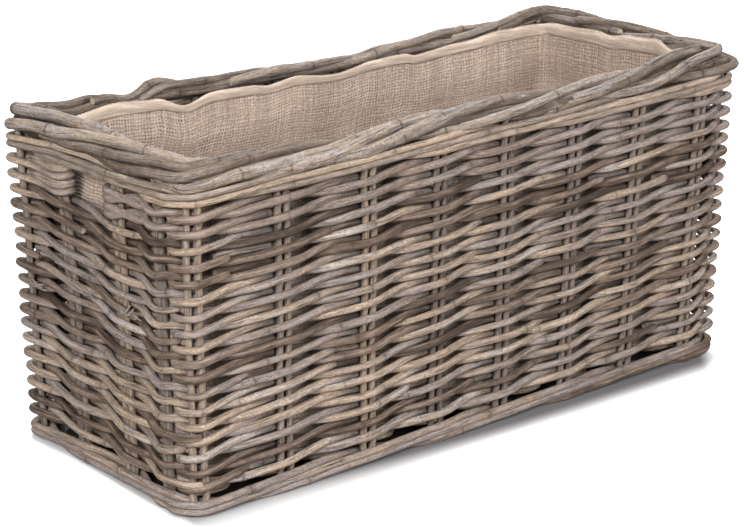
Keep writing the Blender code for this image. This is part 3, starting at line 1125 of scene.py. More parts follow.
@dataclass
class Stakes:
    """The pairs of uprights, each one rod bent double."""

    line: StakeLine
    sweep: Sweep = Sweep(sides=10, step=0.005, unevenness=0.07, wander=0.0004)
    steps: int = 8
    strip: int = 23
    strip_share: float = 0.47
    tones: dict[int, float] = field(default_factory=lambda: {23: 0.3, 0: 0.75, 1: 0.55, 2: 0.95, 5: 0.35})

    def build(self) -> None:
        """Makes all the pairs."""
        for index in range(self.line.count):
            node = f"stake_{index + 1:02d}"
            low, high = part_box(node)
            self._pair(index, node, low.z, high.z)

    def _pair(self, index: int, node: str, low: float, high: float) -> None:
        """One pair of legs, between these heights: a rod bent double, but for one split into strips.

        Args:
            index: the stake.
            node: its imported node.
            low: its foot.
            high: its top.
        """
        bend = low + self.line.leg_thickness / 2
        offset = self.line.leg_offset
        rise = high - bend - offset
        levels = [bend + offset + rise * step / self.steps for step in range(self.steps + 1)]
        points = [self.line.place(index, bend)]
        apart = self.line.leg_thickness * self.strip_share if index == self.strip else offset
        for height in levels:
            leg = self.line.along(index, height) * apart
            points.insert(0, self.line.place(index, height) - leg)
            points.append(self.line.place(index, height) + leg)
        rod = Rod(smooth_line(points, self.sweep.step), self.line.leg_thickness, self.tones.get(index))
        piece = self.sweep.make(f"upright_pair_{index + 1:02d}", [rod], STAKE_ROD, 300 + index)
        hand_over(piece, Slot.PALE, [node])


class Join(Enum):
    """Where one rod of a strand gives way to the next."""

    OUTSIDE = "its cut end stays outside"
    INSIDE = "its end is hidden inside"


@dataclass
class Pairing:
    """The rows of two rods twined round the stakes."""

    line: StakeLine
    thickness: float = 0.0082
    rise: float = 0.0037
    rows: int = 18
    hole_rows: int = 2
    hole_sides: tuple[int, int] = (9, 10)
    outside_share: float = 0.35
    slope: float = 0.082
    shown_ends: dict[int, int] = field(default_factory=lambda: {15: 0, 14: 5, 13: 6, 11: 22, 4: 23, 1: 23})
    lay_seed: int = 1000
    look_seed: int = 100
    hole_look_seed: int = 140
    girths: Span = (0.80, 1.07)
    start_shown_share: float = 0.30
    start_hidden_share: float = 0.62
    start_inset: float = 0.004
    end_shown_share: float = 0.40
    end_stand: float = 0.0052
    end_hidden_share: float = 0.80
    end_inset: float = 0.014
    corner_stub: tuple[Span, ...] = ((0.0135, 0.0015), (0.0020, 0.0090))
    hole_girths: Span = (0.94, 1.02)
    hole_tones: tuple[float, ...] = (0.3, 0.45, 0.8)
    rear_hole_tone: float = 0.62
    return_path: tuple[Place, ...] = (
        (-0.6, 0.0, 1.0),
        (0.9, 0.0, 1.0),
        (0.0, 0.93, 0.55),
        (0.0, 1.0, -0.35),
        (1.1, 0.0, -1.0),
        (-0.6, 0.0, -1.05),
    )
    sliver_places: tuple[tuple[int, int, int], ...] = ((11, 21, 5), (11, 22, 4), (10, 20, 4), (17, 0, 3))
    sliver_thickness: float = 0.0017
    sliver_stands: tuple[float, ...] = (0.0, 0.002, 0.004, 0.003)
    sliver_step_share: float = 0.13
    sliver_starts: Span = (-0.02, 0.25)
    sliver_rise: float = 0.004
    sliver_tones: tuple[float, ...] = (0.9, 0.75, 1.0)
    sweep: Sweep = Sweep()

    def build(self) -> None:
        """Makes all the rows."""
        for number in range(1, self.rows + 1):
            draw = random.Random(self.lay_seed + number)
            if number <= self.rows - self.hole_rows:
                self._round(number, draw)
            else:
                self._beside_holes(number, draw)

    def _turn(self, index: int) -> int:
        """Which way the strands twist after this stake."""
        return -1 if index % self.line.count in self.line.turned_stretches else 1

    def _crossing(
        self, index: int, height: float, facing: int, share: float = 0.5, aside: float = 0.0
    ) -> Vector:
        """Where a strand crosses its partner after passing a stake on this side."""
        place = self.line.between(index, height, share) + self.line.outward(index, height) * aside
        return place + UP * (self.rise * facing * self._turn(index))

    def _strand(self, stakes: Sequence[int], height: float, facing: int) -> list[Vector]:
        """The middle of a strand that changes sides between stakes.

        Args:
            stakes: the stakes that it passes.
            height: of the row.
            facing: 1 or -1, its side of the first.

        Returns:
            What it goes through.
        """
        points = self.line.passing(stakes[0], height, self.thickness, facing)
        for before, after in zip(stakes, stakes[1:]):
            points.append(self._crossing(before, height, facing))
            facing = -facing
            slope = self.slope * facing * self._turn(before)
            points += self.line.passing(after, height, self.thickness, facing, slope)
        return points

    def _girth(self, draw: random.Random) -> float:
        """The thickness of one rod, no two alike."""
        return self.thickness * draw.uniform(*self.girths)

    def _at_corner(self, stake: int) -> bool:
        """Whether the stretch after this stake is the one round the corner behind the first stake."""
        return stake % self.line.count == self.line.count - 1

    def _round(self, number: int, draw: random.Random) -> None:
        """A row that goes all the way round, each strand made of two rods.

        Args:
            number: the row, counted from the foot.
            draw: what its ends and girths are drawn from.
        """
        node = f"row_{number:02d}"
        height = level_of(node)
        half = self.line.count // 2
        rods = []
        for parity in (0, 1):
            first = 2 * draw.randrange(half) + parity
            second = first + 2 * draw.randint(half // 2 - 2, half // 2 + 1)
            third = first + self.line.count
            joins = [Join.OUTSIDE if draw.random() < self.outside_share else Join.INSIDE for _ in range(2)]
            for place, stake in enumerate((first, second)):
                if self._at_corner(stake):
                    joins[place] = Join.INSIDE
            shown = self.shown_ends.get(number, -1)
            if shown >= 0 and shown % 2 == parity:
                second += shown - first
                first = shown
                third = first + self.line.count
                joins[0] = Join.OUTSIDE
            for start, stop, before, after in (
                (first, second, joins[0], joins[1]),
                (second, third, joins[1], joins[0]),
            ):
                points = self._rod(start, stop, height, before, after)
                rods.append(Rod(smooth_line(points, self.sweep.step), self._girth(draw)))
        rods += self._slivers(number, height, draw)
        seed = self.look_seed + number
        piece = self.sweep.make(f"pairing_{node}", rods, GREY_ROD, seed, self.line.depth)
        hand_over(piece, Slot.GREY, [node])

    def _slivers(self, row: int, height: float, draw: random.Random) -> list[Rod]:
        """Thin splinters torn off the strands of this row."""
        counts = [(index, count) for place, index, count in self.sliver_places if place == row]
        return [self._sliver(index, height, draw) for index, count in counts for _ in range(count)]

    def _sliver(self, index: int, height: float, draw: random.Random) -> Rod:
        """A splinter that stands off the row between two stakes.

        Args:
            index: the stake before it.
            height: of the row.
            draw: what its lie is drawn from.

        Returns:
            The splinter.
        """
        level = height + draw.uniform(-0.4, 0.4) * self.thickness
        start = draw.uniform(*self.sliver_starts)
        clear = self.line.clearance(self.thickness) + self.thickness * 0.4
        points = []
        for step, stand in enumerate(self.sliver_stands):
            share = start + self.sliver_step_share * step
            out = clear * (1.0 - 0.75 * share) + stand
            rise = UP * (draw.uniform(-0.4, 0.6) * self.sliver_rise * step)
            place = self.line.between(index, level, share)
            points.append(place + self.line.outward(index, level) * out + rise)
        line = smooth_line(points, self.sweep.step)
        return Rod(line, self.sliver_thickness, draw.choice(self.sliver_tones))

    def _rod(self, start: int, stop: int, height: float, before: Join, after: Join) -> list[Vector]:
        """One rod between two joins, each after a stake that its strand passes outside.

        Args:
            start: the stake before the rod's start.
            stop: the stake before its end.
            height: of the row.
            before: how it takes over from the last rod.
            after: how it gives way to the next.

        Returns:
            What the middle of the rod goes through.
        """
        line = self.line
        share = self.start_shown_share if before is Join.OUTSIDE else self.start_hidden_share
        points = [self._crossing(start, height, 1, share, -self.start_inset)]
        points += self._strand(range(start + 1, stop + 1), height, -1)
        if after is Join.OUTSIDE and self._at_corner(stop):
            corner = line.place(stop + 1, height)
            way = line.side(stop + 1, height)
            outward = line.outward(stop + 1, height)
            for along, out in self.corner_stub:
                points.append(corner - way * along + outward * out + UP * self.rise)
        elif after is Join.OUTSIDE:
            points.append(self._crossing(stop, height, 1, self.end_shown_share, self.end_stand))
        else:
            points.append(self._crossing(stop, height, 1))
            end = line.between(stop, height + self.rise, self.end_hidden_share)
            points.append(end - line.out(stop + 1, height) * self.end_inset)
        return points

    def _beside_holes(self, number: int, draw: random.Random) -> None:
        """A row that turns back round the stakes beside the hand holes.

        Args:
            number: the row, counted from the foot.
            draw: what its tones and girths are drawn from.
        """
        half = self.line.count // 2
        spans = {
            "front": range(self.hole_sides[1] - half, self.hole_sides[0] + 1),
            "rear": range(self.hole_sides[1], self.hole_sides[0] + half + 1),
        }
        for wall, stakes in spans.items():
            node = f"row_{number:02d}_{wall}"
            height = level_of(node)
            rods = []
            for facing in (1, -1):
                points = self._strand(stakes, height, facing)
                last_facing = facing * (-1) ** (len(stakes) - 1)
                points = self._turned(stakes[0], height, -1, facing)[::-1] + points[2:-2]
                points += self._turned(stakes[-1], height, 1, last_facing)
                tone = self.rear_hole_tone if wall == "rear" else draw.choice(self.hole_tones)
                thickness = self.thickness * draw.uniform(*self.hole_girths)
                rods.append(Rod(smooth_line(points, self.sweep.step), thickness, tone))
            seed = self.hole_look_seed + number * 2 + len(wall)
            piece = self.sweep.make(f"pairing_{node}", rods, GREY_ROD, seed, self.line.depth)
            hand_over(piece, Slot.GREY, [node])

    def _turned(self, index: int, height: float, direction: int, facing: int) -> list[Vector]:
        """The outer side of a stake and then round its edge, ending inside.

        Both strands turn in here one above the other, so that their returns are stacked.

        Args:
            index: the stake.
            height: of the row.
            direction: 1 where the row ends at it, -1 where it starts there.
            facing: 1 for a strand that comes to it outside, -1 for one inside.

        Returns:
            What the strand goes through.
        """
        level = height + self.rise * facing
        along = self.line.along(index, level) * direction
        out = self.line.out(index, level)
        place = self.line.place(index, level)
        leg = self.line.leg_offset
        clear = self.line.clearance(self.thickness)
        edge = leg + clear
        return [
            place + along * (leg * leg_share + edge * edge_share) + out * (clear * out_share)
            for leg_share, edge_share, out_share in self.return_path
        ]


@dataclass
class Wale:
    """Three rods, each passing inside one stake and then outside the next five."""

    line: StakeLine
    label: str
    thickness: float
    rise: float
    finish: RodFinish
    slot: Slot
    sweep: Sweep
    period: int = 6
    interval: float = 0.095
    ducking_share: float = 0.85
    lowered: float = 0.0
    girths: Span = (0.92, 1.06)
    look_seeds: int = 900

    def build(self) -> None:
        """Makes the three strands."""
        for number in range(3):
            node = f"{self.label}_rod_{number + 1}"
            height = level_of(node) - self.lowered
            draw = random.Random(self.label + str(number))
            rods = [
                Rod(smooth_line(points, self.sweep.step), self.thickness * draw.uniform(*self.girths))
                for points in self._rods(number, height)
            ]
            name = f"{self.label}_strand_{number + 1}"
            seed = draw.randrange(self.look_seeds)
            piece = self.sweep.make(name, rods, self.finish, seed, self.line.depth)
            hand_over(piece, self.slot, [node])

    def _rods(self, number: int, level: float) -> list[list[Vector]]:
        """The places of the strand's rods, each of which starts and ends inside a stake."""
        start = self.line.count // 2 + 2 + number * self.period // 3
        cuts = range(0, self.line.count + 1, 2 * self.period)
        return [self._points(start, first, last, level) for first, last in zip(cuts, cuts[1:])]

    def _points(self, start: int, first: int, last: int, level: float) -> list[Vector]:
        """The places of a rod that climbs past its stakes, ducks inside one and starts low again.

        Args:
            start: the strand's first stake.
            first: how many stakes on this rod starts.
            last: how many stakes on it ends.
            level: the strand's mean height.

        Returns:
            What the rod goes through.
        """
        out = self.line.clearance(self.thickness)
        top = self.period - 1
        climb = 2 * self.rise / (top - 1)
        points = []
        for turn in range(first, last + 1):
            index = start + turn
            phase = turn % self.period
            height = level if phase == 0 else level - self.rise + climb * (phase - 1)
            facing = -1 if phase == 0 else 1
            slope = climb / self.interval if phase else 0.0
            points += self.line.passing(index, height, self.thickness, facing, slope)
            if turn == last:
                break
            beside = height + climb / 2
            aside = out
            if phase in (0, top):
                beside = level + (self.rise if phase else -self.rise) * self.ducking_share
                aside = 0.0
            points.append(self.line.between(index, beside, 0.5) + self.line.outward(index, beside) * aside)
        return points


@dataclass(frozen=True)
class Core:
    """A stretch of a rod that the others are rolled round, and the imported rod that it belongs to."""

    group: int
    first_share: float
    last_share: float
    aside: float
    rise: float
    tone: float


@dataclass
class Border:
    """Thick rods rolled round each other on top of the stakes."""

    line: StakeLine
    thickness: float = 0.0114
    width: float = 0.0370
    rods: int = 24
    steps: int = 42
    smoothings: int = 2
    girths: Span = (0.82, 1.08)
    start_spread: float = 0.25
    reach: float = 0.350
    reaches: Span = (0.85, 1.08)
    turn: Span = (-118.0, 206.0)
    shallow_turn: Span = (-55.0, 150.0)
    swing: float = 0.0130
    crown: float = 0.0072
    droop: float = 0.0125
    # The cores of tone 0.02 are real rods inside the roll, painted the darkest brown as painted shade in
    # the gaps between the rolled rods
    cores: tuple[Core, ...] = (
        Core(0, 0.80, 1.02, -0.0070, -0.0035, 0.02),
        Core(0, 0.80, 1.02, 0.0045, -0.0030, 0.02),
        Core(0, 0.79, 0.93, 0.0010, -0.0125, 0.20),
        Core(1, 0.0, 0.35, -0.0070, -0.0035, 0.02),
        Core(1, 0.0, 0.35, 0.0045, -0.0030, 0.02),
        Core(2, 0.34, 0.50, -0.0070, -0.0035, 0.02),
        Core(2, 0.34, 0.50, 0.0045, -0.0030, 0.02),
        Core(2, 0.43, 0.545, -0.0060, 0.0010, 0.45),
        Core(1, 0.53, 0.81, -0.0060, -0.0075, 0.30),
        Core(2, 0.49, 0.81, 0.0050, -0.0085, 0.20),
    )
    core_steps: int = 60
    lay_seed: int = 520
    look_seed: int = 500
    core_thickness: float = 0.0102
    square_corners: tuple[int, ...] = (7, 11, 19, 23)
    squareness: float = 2.2
    half_length: float = 0.360
    sag: float = 0.0035
    flatter_share: float = 0.42
    thin_share: float = 0.84
    rear_stake: int = 13
    rear_share: float = 0.9
    tilt_share: float = 0.28
    least_lift_share: float = 0.25
    rear_blend: Profile = ((0.05, 0.0), (0.14, 1.0))
    rear_profile: Profile = (
        (-0.378, 0.0040),
        (-0.345, 0.0035),
        (-0.310, -0.0020),
        (-0.277, 0.0020),
        (-0.235, -0.0070),
        (-0.200, 0.0080),
        (-0.150, 0.0005),
        (-0.060, -0.0005),
        (-0.020, -0.0055),
        (0.060, -0.0060),
        (0.120, -0.0010),
        (0.200, 0.0035),
        (0.250, 0.0035),
        (0.330, 0.0065),
    )
    front_profile: Profile = (
        (-0.360, 0.0000),
        (-0.190, -0.0065),
        (-0.020, 0.0000),
        (0.220, 0.0000),
        (0.330, 0.0065),
        (0.375, 0.0080),
    )
    loops: tuple[Place, ...] = ((0.372, -0.152, 0.0095), (-0.372, 0.152, 0.0045))
    loop_reach: float = 0.055
    sweep: Sweep = Sweep(
        sides=14, step=0.0035, unevenness=0.12, wander=0.0022, wander_length=0.06, sway=0.6
    )
    level: float = field(init=False)
    middle: float = field(init=False)
    lengths: list[float] = field(init=False)

    def build(self) -> None:
        """Makes the rods, in three groups that stand for the three packed ones."""
        self.level = level_of("border_rod_1")
        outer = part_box("border_rod_1")[1].x
        self.middle = outer - self.line.right(self.level) - self.width / 2
        self.lengths = self._lengths()
        for number in range(3):
            draw = random.Random(self.lay_seed + number)
            rods = [self._rod(first, draw) for first in range(number, self.rods, 3)]
            rods += [self._core(core) for core in self.cores if core.group == number]
            node = f"border_rod_{number + 1}"
            piece = self.sweep.make(f"rolled_{node}", rods, BARK_ROD, self.look_seed + number)
            hand_over(piece, Slot.GREY, [node])

    def _corner(self, index: int, aside: float) -> Vector:
        """A corner of the outline through the border, this far out from its middle."""
        return self.line.inset(index, self.level, -self.middle - aside)

    def _lengths(self) -> list[float]:
        """How far round the border each stake is."""
        found = [0.0]
        for index in range(self.line.count):
            stretch = self._corner(index + 1, 0.0) - self._corner(index, 0.0)
            found.append(found[-1] + stretch.length)
        return found

    def _at(self, distance: float, aside: float, rise: float) -> Vector:
        """A place in the border.

        Args:
            distance: how far round the basket.
            aside: how far outside the border's middle.
            rise: how far above it.

        Returns:
            The place.
        """
        distance %= self.lengths[-1]
        index = max(number for number in range(self.line.count) if self.lengths[number] <= distance)
        share = (distance - self.lengths[index]) / (self.lengths[index + 1] - self.lengths[index])
        first = self._corner(index, aside)
        last = self._corner(index + 1, aside)
        place = first.lerp(last, share)
        if index in self.square_corners:
            along = self.line.side(index - 1, self.level)
            square = first + along * (last - first).dot(along)
            weights = ((1 - share) ** 2, 2 * self.squareness * share * (1 - share), share**2)
            place = (first * weights[0] + square * weights[1] + last * weights[2]) / sum(weights)
        flat = max(0.0, 1.0 - abs(place.x / self.half_length) ** 3)
        level = rise * (1.0 - self.flatter_share * flat) - self.sag * flat - self.tilt_share * aside
        lift_share = (rise + self.droop) / (self.crown + self.droop)
        level += self._lift(place) * min(1.0, max(self.least_lift_share, lift_share))
        return place + self._loop(place) * (0.5 + 0.5 * aside / self.swing) + UP * level

    def _lift(self, place: Vector) -> float:
        """How far the border stands above its even height, or hangs below it.

        Args:
            place: where.

        Returns:
            The height.
        """
        front = eased(self.front_profile, place.x)
        rear = eased(self.rear_profile, place.x)
        return front + (rear - front) * eased(self.rear_blend, place.y)

    def _loop(self, place: Vector) -> Vector:
        """How far the rods stand out where they turn wide round a corner.

        Args:
            place: where.

        Returns:
            The way out.
        """
        moved = Vector()
        for x, y, out in self.loops:
            away = math.hypot(place.x - x, place.y - y)
            diagonal = Vector((math.copysign(1.0, x), math.copysign(1.0, y), 0.0)).normalized()
            moved += diagonal * out * eased(((0.0, 1.0), (self.loop_reach, 0.0)), away)
        return moved

    def _core(self, core: Core) -> Rod:
        """Makes a stretch of a rod that the others are rolled round.

        Args:
            core: the stretch.

        Returns:
            The rod.
        """
        first, last = (self.lengths[-1] * share for share in (core.first_share, core.last_share))
        places = [first + (last - first) * step / self.core_steps for step in range(self.core_steps + 1)]
        points = [self._at(place, core.aside, core.rise) for place in places]
        return Rod(smooth_line(points, self.sweep.step), self.core_thickness, core.tone)

    def _rod(self, first: int, draw: random.Random) -> Rod:
        """One rod, from between the stakes, over the top to the inside.

        Args:
            first: its number round the border.
            draw: what its start, length, turn and girth are drawn from.

        Returns:
            The rod.
        """
        spread = draw.uniform(-self.start_spread, self.start_spread)
        start = self.lengths[-1] * (first + spread) / self.rods
        reach = self.reach * draw.uniform(*self.reaches)
        # Either end of a rod turns less far in one case out of three
        low, high = (draw.choice((far, far, near)) for far, near in zip(self.turn, self.shallow_turn))
        points = []
        for step in range(self.steps + 1):
            share = step / self.steps
            angle = math.radians(low + (high - low) * share)
            aside = self.swing * math.cos(angle)
            rise = (self.crown if angle > 0 else self.droop) * math.sin(angle)
            points.append(self._at(start + reach * share, aside, rise))
        for _ in range(self.smoothings):
            inner = [(a + b * 2 + c) / 4 for a, b, c in zip(points, points[1:], points[2:])]
            points = [points[0], *inner, points[-1]]
        rear = self.line.place(self.rear_stake, self.level).y * self.rear_share
        thickness = self.thickness * (self.thin_share if points[self.steps // 2].y > rear else 1.0)
        return Rod(smooth_line(points, self.sweep.step), thickness * draw.uniform(*self.girths))


@dataclass
class Base:
    """Sticks along the basket, and the rod woven over and under them."""

    sweep: Sweep = Sweep(sides=8, step=0.006, unevenness=0.06, wander=0.0005, sway=0.0)
    sticks: int = 3
    pitch: float = 0.0340
    stick_seed: int = 700
    weave_seed: int = 720

    def build(self) -> None:
        """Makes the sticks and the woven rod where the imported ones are."""
        places = []
        thickness = 0.0
        for number in range(1, self.sticks + 1):
            node = f"base_stick_{number}"
            low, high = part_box(node)
            middle = (low + high) / 2
            thickness = high.y - low.y
            places.append(middle)
            ends = [Vector((x, middle.y, middle.z)) for x in (low.x, middle.x, high.x)]
            rod = Rod(smooth_line(ends, self.sweep.step), thickness)
            piece = self.sweep.make(f"bottom_stick_{number}", [rod], PALE_ROD, self.stick_seed + number)
            hand_over(piece, Slot.PALE, [node])
        self._weave(places, thickness)

    def _weave(self, places: list[Vector], stick: float) -> None:
        """One rod to and fro over and under the sticks.

        Args:
            places: the middles of the sticks.
            stick: their thickness.
        """
        low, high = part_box("base_weave")
        level = (low.z + high.z) / 2
        thickness = (high.z - low.z - stick) / 2
        swing = (stick + thickness) / 2
        end = high.x - thickness / 2
        edge = high.y - thickness / 2
        passes = int(2 * end / self.pitch)
        points = []
        for number in range(passes + 1):
            way = 1 if number % 2 else -1
            x = 2 * end / passes * number - end
            points.append(Vector((x, -way * edge, level)))
            for crossed, place in enumerate(places):
                over = 1 if (crossed + number) % 2 else -1
                points.append(Vector((x, way * place.y, level + over * swing)))
            points.append(Vector((x, way * edge, level)))
        rod = Rod(smooth_line(points, self.sweep.step), thickness)
        piece = self.sweep.make("bottom_weave", [rod], PALE_ROD, self.weave_seed)
        hand_over(piece, Slot.PALE, ["base_weave"])


def soft_noise(place: Vector, fineness: Place, apart: float = 0.0) -> float:
    """Smooth noise about 0.

    Args:
        place: where it is read.
        fineness: how fine it is along each axis.
        apart: keeps it unlike the others.

    Returns:
        The noise.
    """
    x, y, z = (part * scale for part, scale in zip(place, fineness))
    return noise.noise(Vector((x, y, z + apart)))


@dataclass
class Liner:
    """The loose hessian bag and the tape that binds its top edge."""

    line: StakeLine
    columns: int = 480
    levels: int = 48
    cloth: float = 0.0009
    tape_height: float = 0.0125
    tape: float = 0.0014
    ripple: float = 0.0080
    scallop: float = 0.0060
    slack: float = 0.0085
    slack_below: float = 0.030
    slack_fade: float = 0.060
    roundings: int = 8
    soft_folds: Place = (10.0, 10.0, 2.2)
    fine_folds: Place = (30.0, 30.0, 5.0)
    fold_fade: float = 0.05
    corner_start: float = 0.24
    corner_gain: float = 9.0
    wave: Place = (9.0, 9.0, 0.0)
    small_wave: Place = (27.0, 27.0, 0.0)
    right_shares: Span = (0.88, 0.985)
    rear_shares: Span = (0.84, 0.97)
    floor_steps: int = 12
    lumps: Place = (20.0, 20.0, 0.0)
    lump_height: float = 0.0012
    floor_rise: float = 0.0008
    foot_gap: float = 0.001
    tape_rows: int = 6
    tape_wave_share: float = 0.62
    tape_gap: float = 0.0003
    tape_lean: float = 0.003
    rear_edge: Profile = (
        (-0.330, -0.004),
        (-0.265, 0.002),
        (-0.215, -0.002),
        (-0.178, -0.015),
        (-0.145, -0.006),
        (-0.095, -0.006),
        (-0.068, -0.011),
        (-0.030, -0.006),
        (0.022, -0.014),
        (0.075, -0.006),
        (0.120, -0.004),
        (0.137, -0.008),
        (0.200, -0.004),
        (0.267, 0.003),
        (0.330, 0.001),
    )
    right_edge: Profile = (
        (-0.121, -0.002),
        (-0.109, 0.008),
        (-0.091, 0.006),
        (-0.070, 0.014),
        (-0.030, 0.011),
        (0.003, 0.006),
        (0.023, 0.008),
        (0.108, 0.003),
    )
    low: Vector = field(init=False)
    high: Vector = field(init=False)
    inset: float = field(init=False)

    def build(self) -> None:
        """Makes the bag and its binding."""
        low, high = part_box("liner")
        self.low = low
        self.high = high
        self.inset = self.line.right(high.z) - high.x
        bag = self._bag()
        band = self._band()
        hand_over(band, Slot.BAND, ["liner_band"])
        hand_over(bag, Slot.HESSIAN, ["liner"])

    def _inset(self, height: float) -> float:
        """How far in from the stakes the cloth hangs: clear of the border, and by the weave below it."""
        share = min(1.0, max(0.0, (self.high.z - self.slack_below - height) / self.slack_fade))
        return self.inset - self.slack * share * share * (3 - 2 * share)

    def _outline(self, height: float, extra: float) -> list[Vector]:
        """The bag's outline at a height, evenly spaced and with rounded corners.

        Args:
            height: the height.
            extra: how much further in it is.

        Returns:
            The places round it.
        """
        inset = self._inset(height) + extra
        corners = [self.line.inset(index, height, inset) for index in range(self.line.count)]
        lengths = [(after - before).length for before, after in zip(corners, corners[1:] + corners[:1])]
        total = sum(lengths)
        places = []
        index = 0
        passed = 0.0
        for column in range(self.columns):
            target = total * column / self.columns
            while passed + lengths[index] < target:
                passed += lengths[index]
                index += 1
            share = (target - passed) / lengths[index]
            places.append(corners[index].lerp(corners[(index + 1) % len(corners)], share))
        for _ in range(self.roundings):
            places = [
                (places[number - 1] + here * 2 + places[(number + 1) % len(places)]) / 4
                for number, here in enumerate(places)
            ]
        return places

    def _fold(self, place: Vector) -> float:
        """How far the cloth stands in from its outline, in soft upright folds.

        Args:
            place: where on the outline.

        Returns:
            The distance.
        """
        from_top = min(1.0, (self.high.z - place.z) / self.fold_fade)
        soft = soft_noise(place, self.soft_folds, 7.0)
        fine = soft_noise(place, self.fine_folds)
        near_corner = max(0.0, abs(place.x) - self.corner_start) * self.corner_gain
        return self.ripple * (0.4 + (0.5 + 0.5 * from_top) * ((1.0 + near_corner) * soft + 0.30 * fine))

    def _top(self, place: Vector) -> float:
        """How high the wavy top edge stands here, from the liner's top.

        Args:
            place: where on the outline.

        Returns:
            The height.
        """
        top = self.scallop * (soft_noise(place, self.wave, 3.0) - 0.8)
        start, full = (share * self.high.x for share in self.right_shares)
        top += (eased(self.right_edge, place.y) - top) * eased(((start, 0.0), (full, 1.0)), place.x)
        start, full = (share * self.high.y for share in self.rear_shares)
        top += (eased(self.rear_edge, place.x) - top) * eased(((start, 0.0), (full, 1.0)), place.y)
        return top + 0.25 * self.scallop * soft_noise(place, self.small_wave, 9.0)

    def _wall(self, bottom: float, rows: int, top_share: float, extra: float, curl: float) -> Rings:
        """Rings of places up the wall.

        Args:
            bottom: the lowest ring's height.
            rows: how many rings there are above it.
            top_share: how much of the top edge's wave the lowest ring has.
            extra: how much further in than the bag all rings are.
            curl: how far the top edge leans out.

        Returns:
            The rings, lowest first.
        """
        rings = []
        for row in range(rows + 1):
            share = row / rows
            height = bottom + (self.high.z - bottom) * share
            outline = self._outline(height, extra)
            ring = []
            for number, place in enumerate(outline):
                before = outline[number - 1]
                after = outline[(number + 1) % len(outline)]
                inward = UP.cross((after - before).normalized())
                lean = curl * max(0.0, share * 2 - 1) ** 2
                lifted = self._top(place) * (top_share + (1 - top_share) * share**3)
                ring.append(place + inward * (self._fold(place) + extra - lean) + UP * lifted)
            rings.append(ring)
        return rings

    def _skin(
        self, name: str, rings: Rings, finish: Finish, thickness: float, closed: bool
    ) -> bpy.types.Object:
        """A sheet through the rings, with its thickness and its own lengths for the weave.

        Args:
            name: the piece's name.
            rings: the places that it goes through, lowest first.
            finish: its look.
            thickness: of the cloth.
            closed: whether it has a floor.

        Returns:
            The piece, a plain mesh.
        """
        shape = bmesh.new()
        cloth = shape.verts.layers.float_vector.new("cloth")
        rows = []
        count = len(rings[0])
        girth = sum((rings[-1][n] - rings[-1][n - 1]).length for n in range(count))
        down = 0.0
        for number, ring in enumerate(rings):
            if number:
                down += (ring[0] - rings[number - 1][0]).length
            made = []
            for column in range(count):
                vertex = shape.verts.new(ring[column])
                vertex[cloth] = (girth * column / count, down, 0.0)
                made.append(vertex)
            rows.append(made)
        for lower, upper in zip(rows, rows[1:]):
            for n in range(count):
                after = (n + 1) % count
                shape.faces.new((lower[n], upper[n], upper[after], lower[after]))
        if closed:
            self._floor(shape, cloth, rings[0], rows[0])
        for face in shape.faces:
            face.smooth = True
        mesh = bpy.data.meshes.new(name)
        shape.to_mesh(mesh)
        shape.free()
        mesh.materials.append(finish.build())
        piece = placed(name, mesh)
        solid = piece.modifiers.new("cloth", "SOLIDIFY")
        solid.thickness = thickness
        solid.offset = -1.0
        bake(piece)
        mesh = piece.data
        outside = [float(vertex.normal.xy.dot(vertex.co.xy) > 0.0) for vertex in mesh.vertices]
        mesh.attributes.new("outside", "FLOAT", "POINT").data.foreach_set("value", outside)
        return piece

    def _floor(self, shape: bmesh.types.BMesh, cloth: object, ring: list[Vector], row: list) -> None:
        """Closes the bag's foot with rings that shrink to its middle.

        Args:
            shape: the bag.
            cloth: the layer that keeps the cloth's own lengths.
            ring: the places round its foot.
            row: the vertices there.
        """
        middle = sum(ring, Vector()) / len(ring)
        outer = row
        for step in range(1, self.floor_steps):
            share = 1 - step / self.floor_steps
            made = []
            for place in ring:
                at = middle.lerp(place, share)
                lump = self.lump_height * soft_noise(at, self.lumps, 1.0) + self.floor_rise
                vertex = shape.verts.new(at + UP * (lump * min(1.0, 4 * (1 - share))))
                vertex[cloth] = (at.x, at.y, 0.0)
                made.append(vertex)
            for n in range(len(ring)):
                after = (n + 1) % len(ring)
                shape.faces.new((made[n], outer[n], outer[after], made[after]))
            outer = made
        centre = shape.verts.new(middle + UP * self.floor_rise)
        for n in range(len(ring)):
            shape.faces.new((centre, outer[n], outer[(n + 1) % len(ring)]))

    def _bag(self) -> bpy.types.Object:
        """The hessian bag."""
        rings = self._wall(self.low.z + self.foot_gap, self.levels, 0.0, 0.0, 0.0)
        return self._skin("hessian_liner", rings, HessianFinish(), self.cloth, True)

    def _band(self) -> bpy.types.Object:
        """The tape over the bag's top edge."""
        bottom = self.high.z - self.tape_height
        extra = self.cloth + self.tape_gap
        rings = self._wall(bottom, self.tape_rows, self.tape_wave_share, extra, self.tape_lean)
        return self._skin("liner_binding", rings, TapeFinish(), self.tape, False)


def face(piece: bpy.types.Object, way: Vector) -> None:
    """Turns a camera or a lamp to look this way."""
    piece.rotation_mode = "QUATERNION"
    piece.rotation_quaternion = way.to_track_quat("-Z", "Y")


@dataclass(frozen=True)
class Lamp:
    """A soft square lamp that faces the basket."""

    name: str
    place: Place
    size: float
    power: float


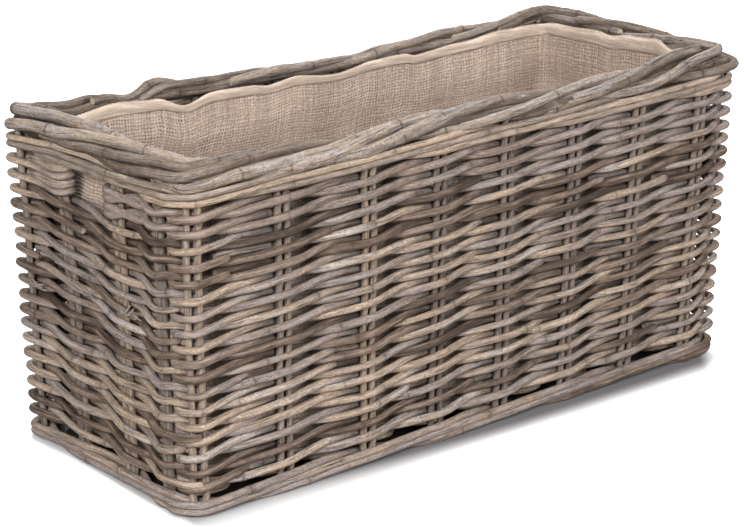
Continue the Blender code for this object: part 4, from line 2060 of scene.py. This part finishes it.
@dataclass
class Studio:
    """The camera at the photograph's place, the soft light and the white floor."""

    eye: Place = (-1.4820, -1.7996, 0.9370)
    view: Place = (0.59873, 0.73727, -0.31298)
    lens: float = 109.95
    sensor: float = 36.0
    shift: Span = (0.0004, -0.02505)
    floor_size: float = 6.0
    light_share: float = 0.10
    sun_way: Place = (0.0, 0.09, 1.0)
    sun_strength: float = 2.95
    sun_spread: float = 8.0
    aim: Place = (0.0, 0.0, 0.18)
    lamps: tuple[Lamp, ...] = (
        Lamp("key", (-2.3, -1.5, 1.45), 1.0, 98.0),
        Lamp("fill", (0.2, -2.6, 1.35), 1.0, 58.0),
        Lamp("rear", (1.9, 2.2, 1.35), 1.2, 62.0),
    )

    def build(self) -> None:
        """Makes all that isn't the basket."""
        self._camera()
        self._world()
        self._floor()
        self._sun()
        for lamp in self.lamps:
            self._lamp(lamp)

    def _camera(self) -> None:
        """The camera."""
        data = bpy.data.cameras.new("camera")
        data.lens = self.lens
        data.sensor_width = self.sensor
        data.shift_x, data.shift_y = self.shift
        camera = placed("camera", data)
        camera.location = self.eye
        face(camera, Vector(self.view))
        bpy.context.scene.camera = camera

    def _world(self) -> None:
        """White behind the basket, and a plain soft light from all sides."""
        world = bpy.data.worlds.new("studio")
        world.use_nodes = True
        bpy.context.scene.world = world
        tree = Tree(world.node_tree)
        seen = tree.node("ShaderNodeLightPath", output="Is Camera Ray")
        strength = self.light_share + seen * (1.0 - self.light_share)
        background = world.node_tree.nodes["Background"]
        feed(tree, background, Color=(1.0, 1.0, 1.0, 1.0), Strength=strength)

    def _floor(self) -> None:
        """A white floor."""
        shape = bmesh.new()
        bmesh.ops.create_grid(shape, x_segments=1, y_segments=1, size=self.floor_size)
        mesh = bpy.data.meshes.new("floor")
        shape.to_mesh(mesh)
        shape.free()
        mesh.materials.append(FloorFinish().build())
        placed("floor", mesh)

    def _sun(self) -> None:
        """The even light from above, which throws the short shadow in front."""
        data = bpy.data.lights.new("overhead", "SUN")
        data.energy = self.sun_strength
        data.angle = math.radians(self.sun_spread)
        face(placed("overhead", data), -Vector(self.sun_way))

    def _lamp(self, lamp: Lamp) -> None:
        """Makes one of the lamps.

        Args:
            lamp: which.
        """
        data = bpy.data.lights.new(lamp.name, "AREA")
        data.size = lamp.size
        data.energy = lamp.power
        piece = placed(lamp.name, data)
        piece.location = lamp.place
        face(piece, Vector(self.aim) - Vector(lamp.place))


def main() -> None:
    """Builds the basket's looks in order."""
    logging.basicConfig(level=logging.INFO, format="%(message)s")
    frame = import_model()
    bpy.context.scene.view_settings.view_transform = "Standard"
    line = StakeLine.read(frame["nodes"])
    Stakes(line).build()
    Pairing(line).build()
    foot_sweep = Sweep(unevenness=0.06, wander=0.0006, sway=0.0)
    Wale(line, "foot_wale", 0.0082, 0.0066, GREY_ROD, Slot.GREY, foot_sweep, lowered=0.0012).build()
    top_sweep = Sweep(unevenness=0.10, wander=0.0009, sway=0.5)
    Wale(line, "top_wale", 0.0068, 0.0068, PALE_ROD, Slot.PALE, top_sweep).build()
    Border(line).build()
    Base().build()
    Liner(line).build()
    Studio().build()
    bpy.context.view_layer.update()


if __name__ == "__main__":
    main()
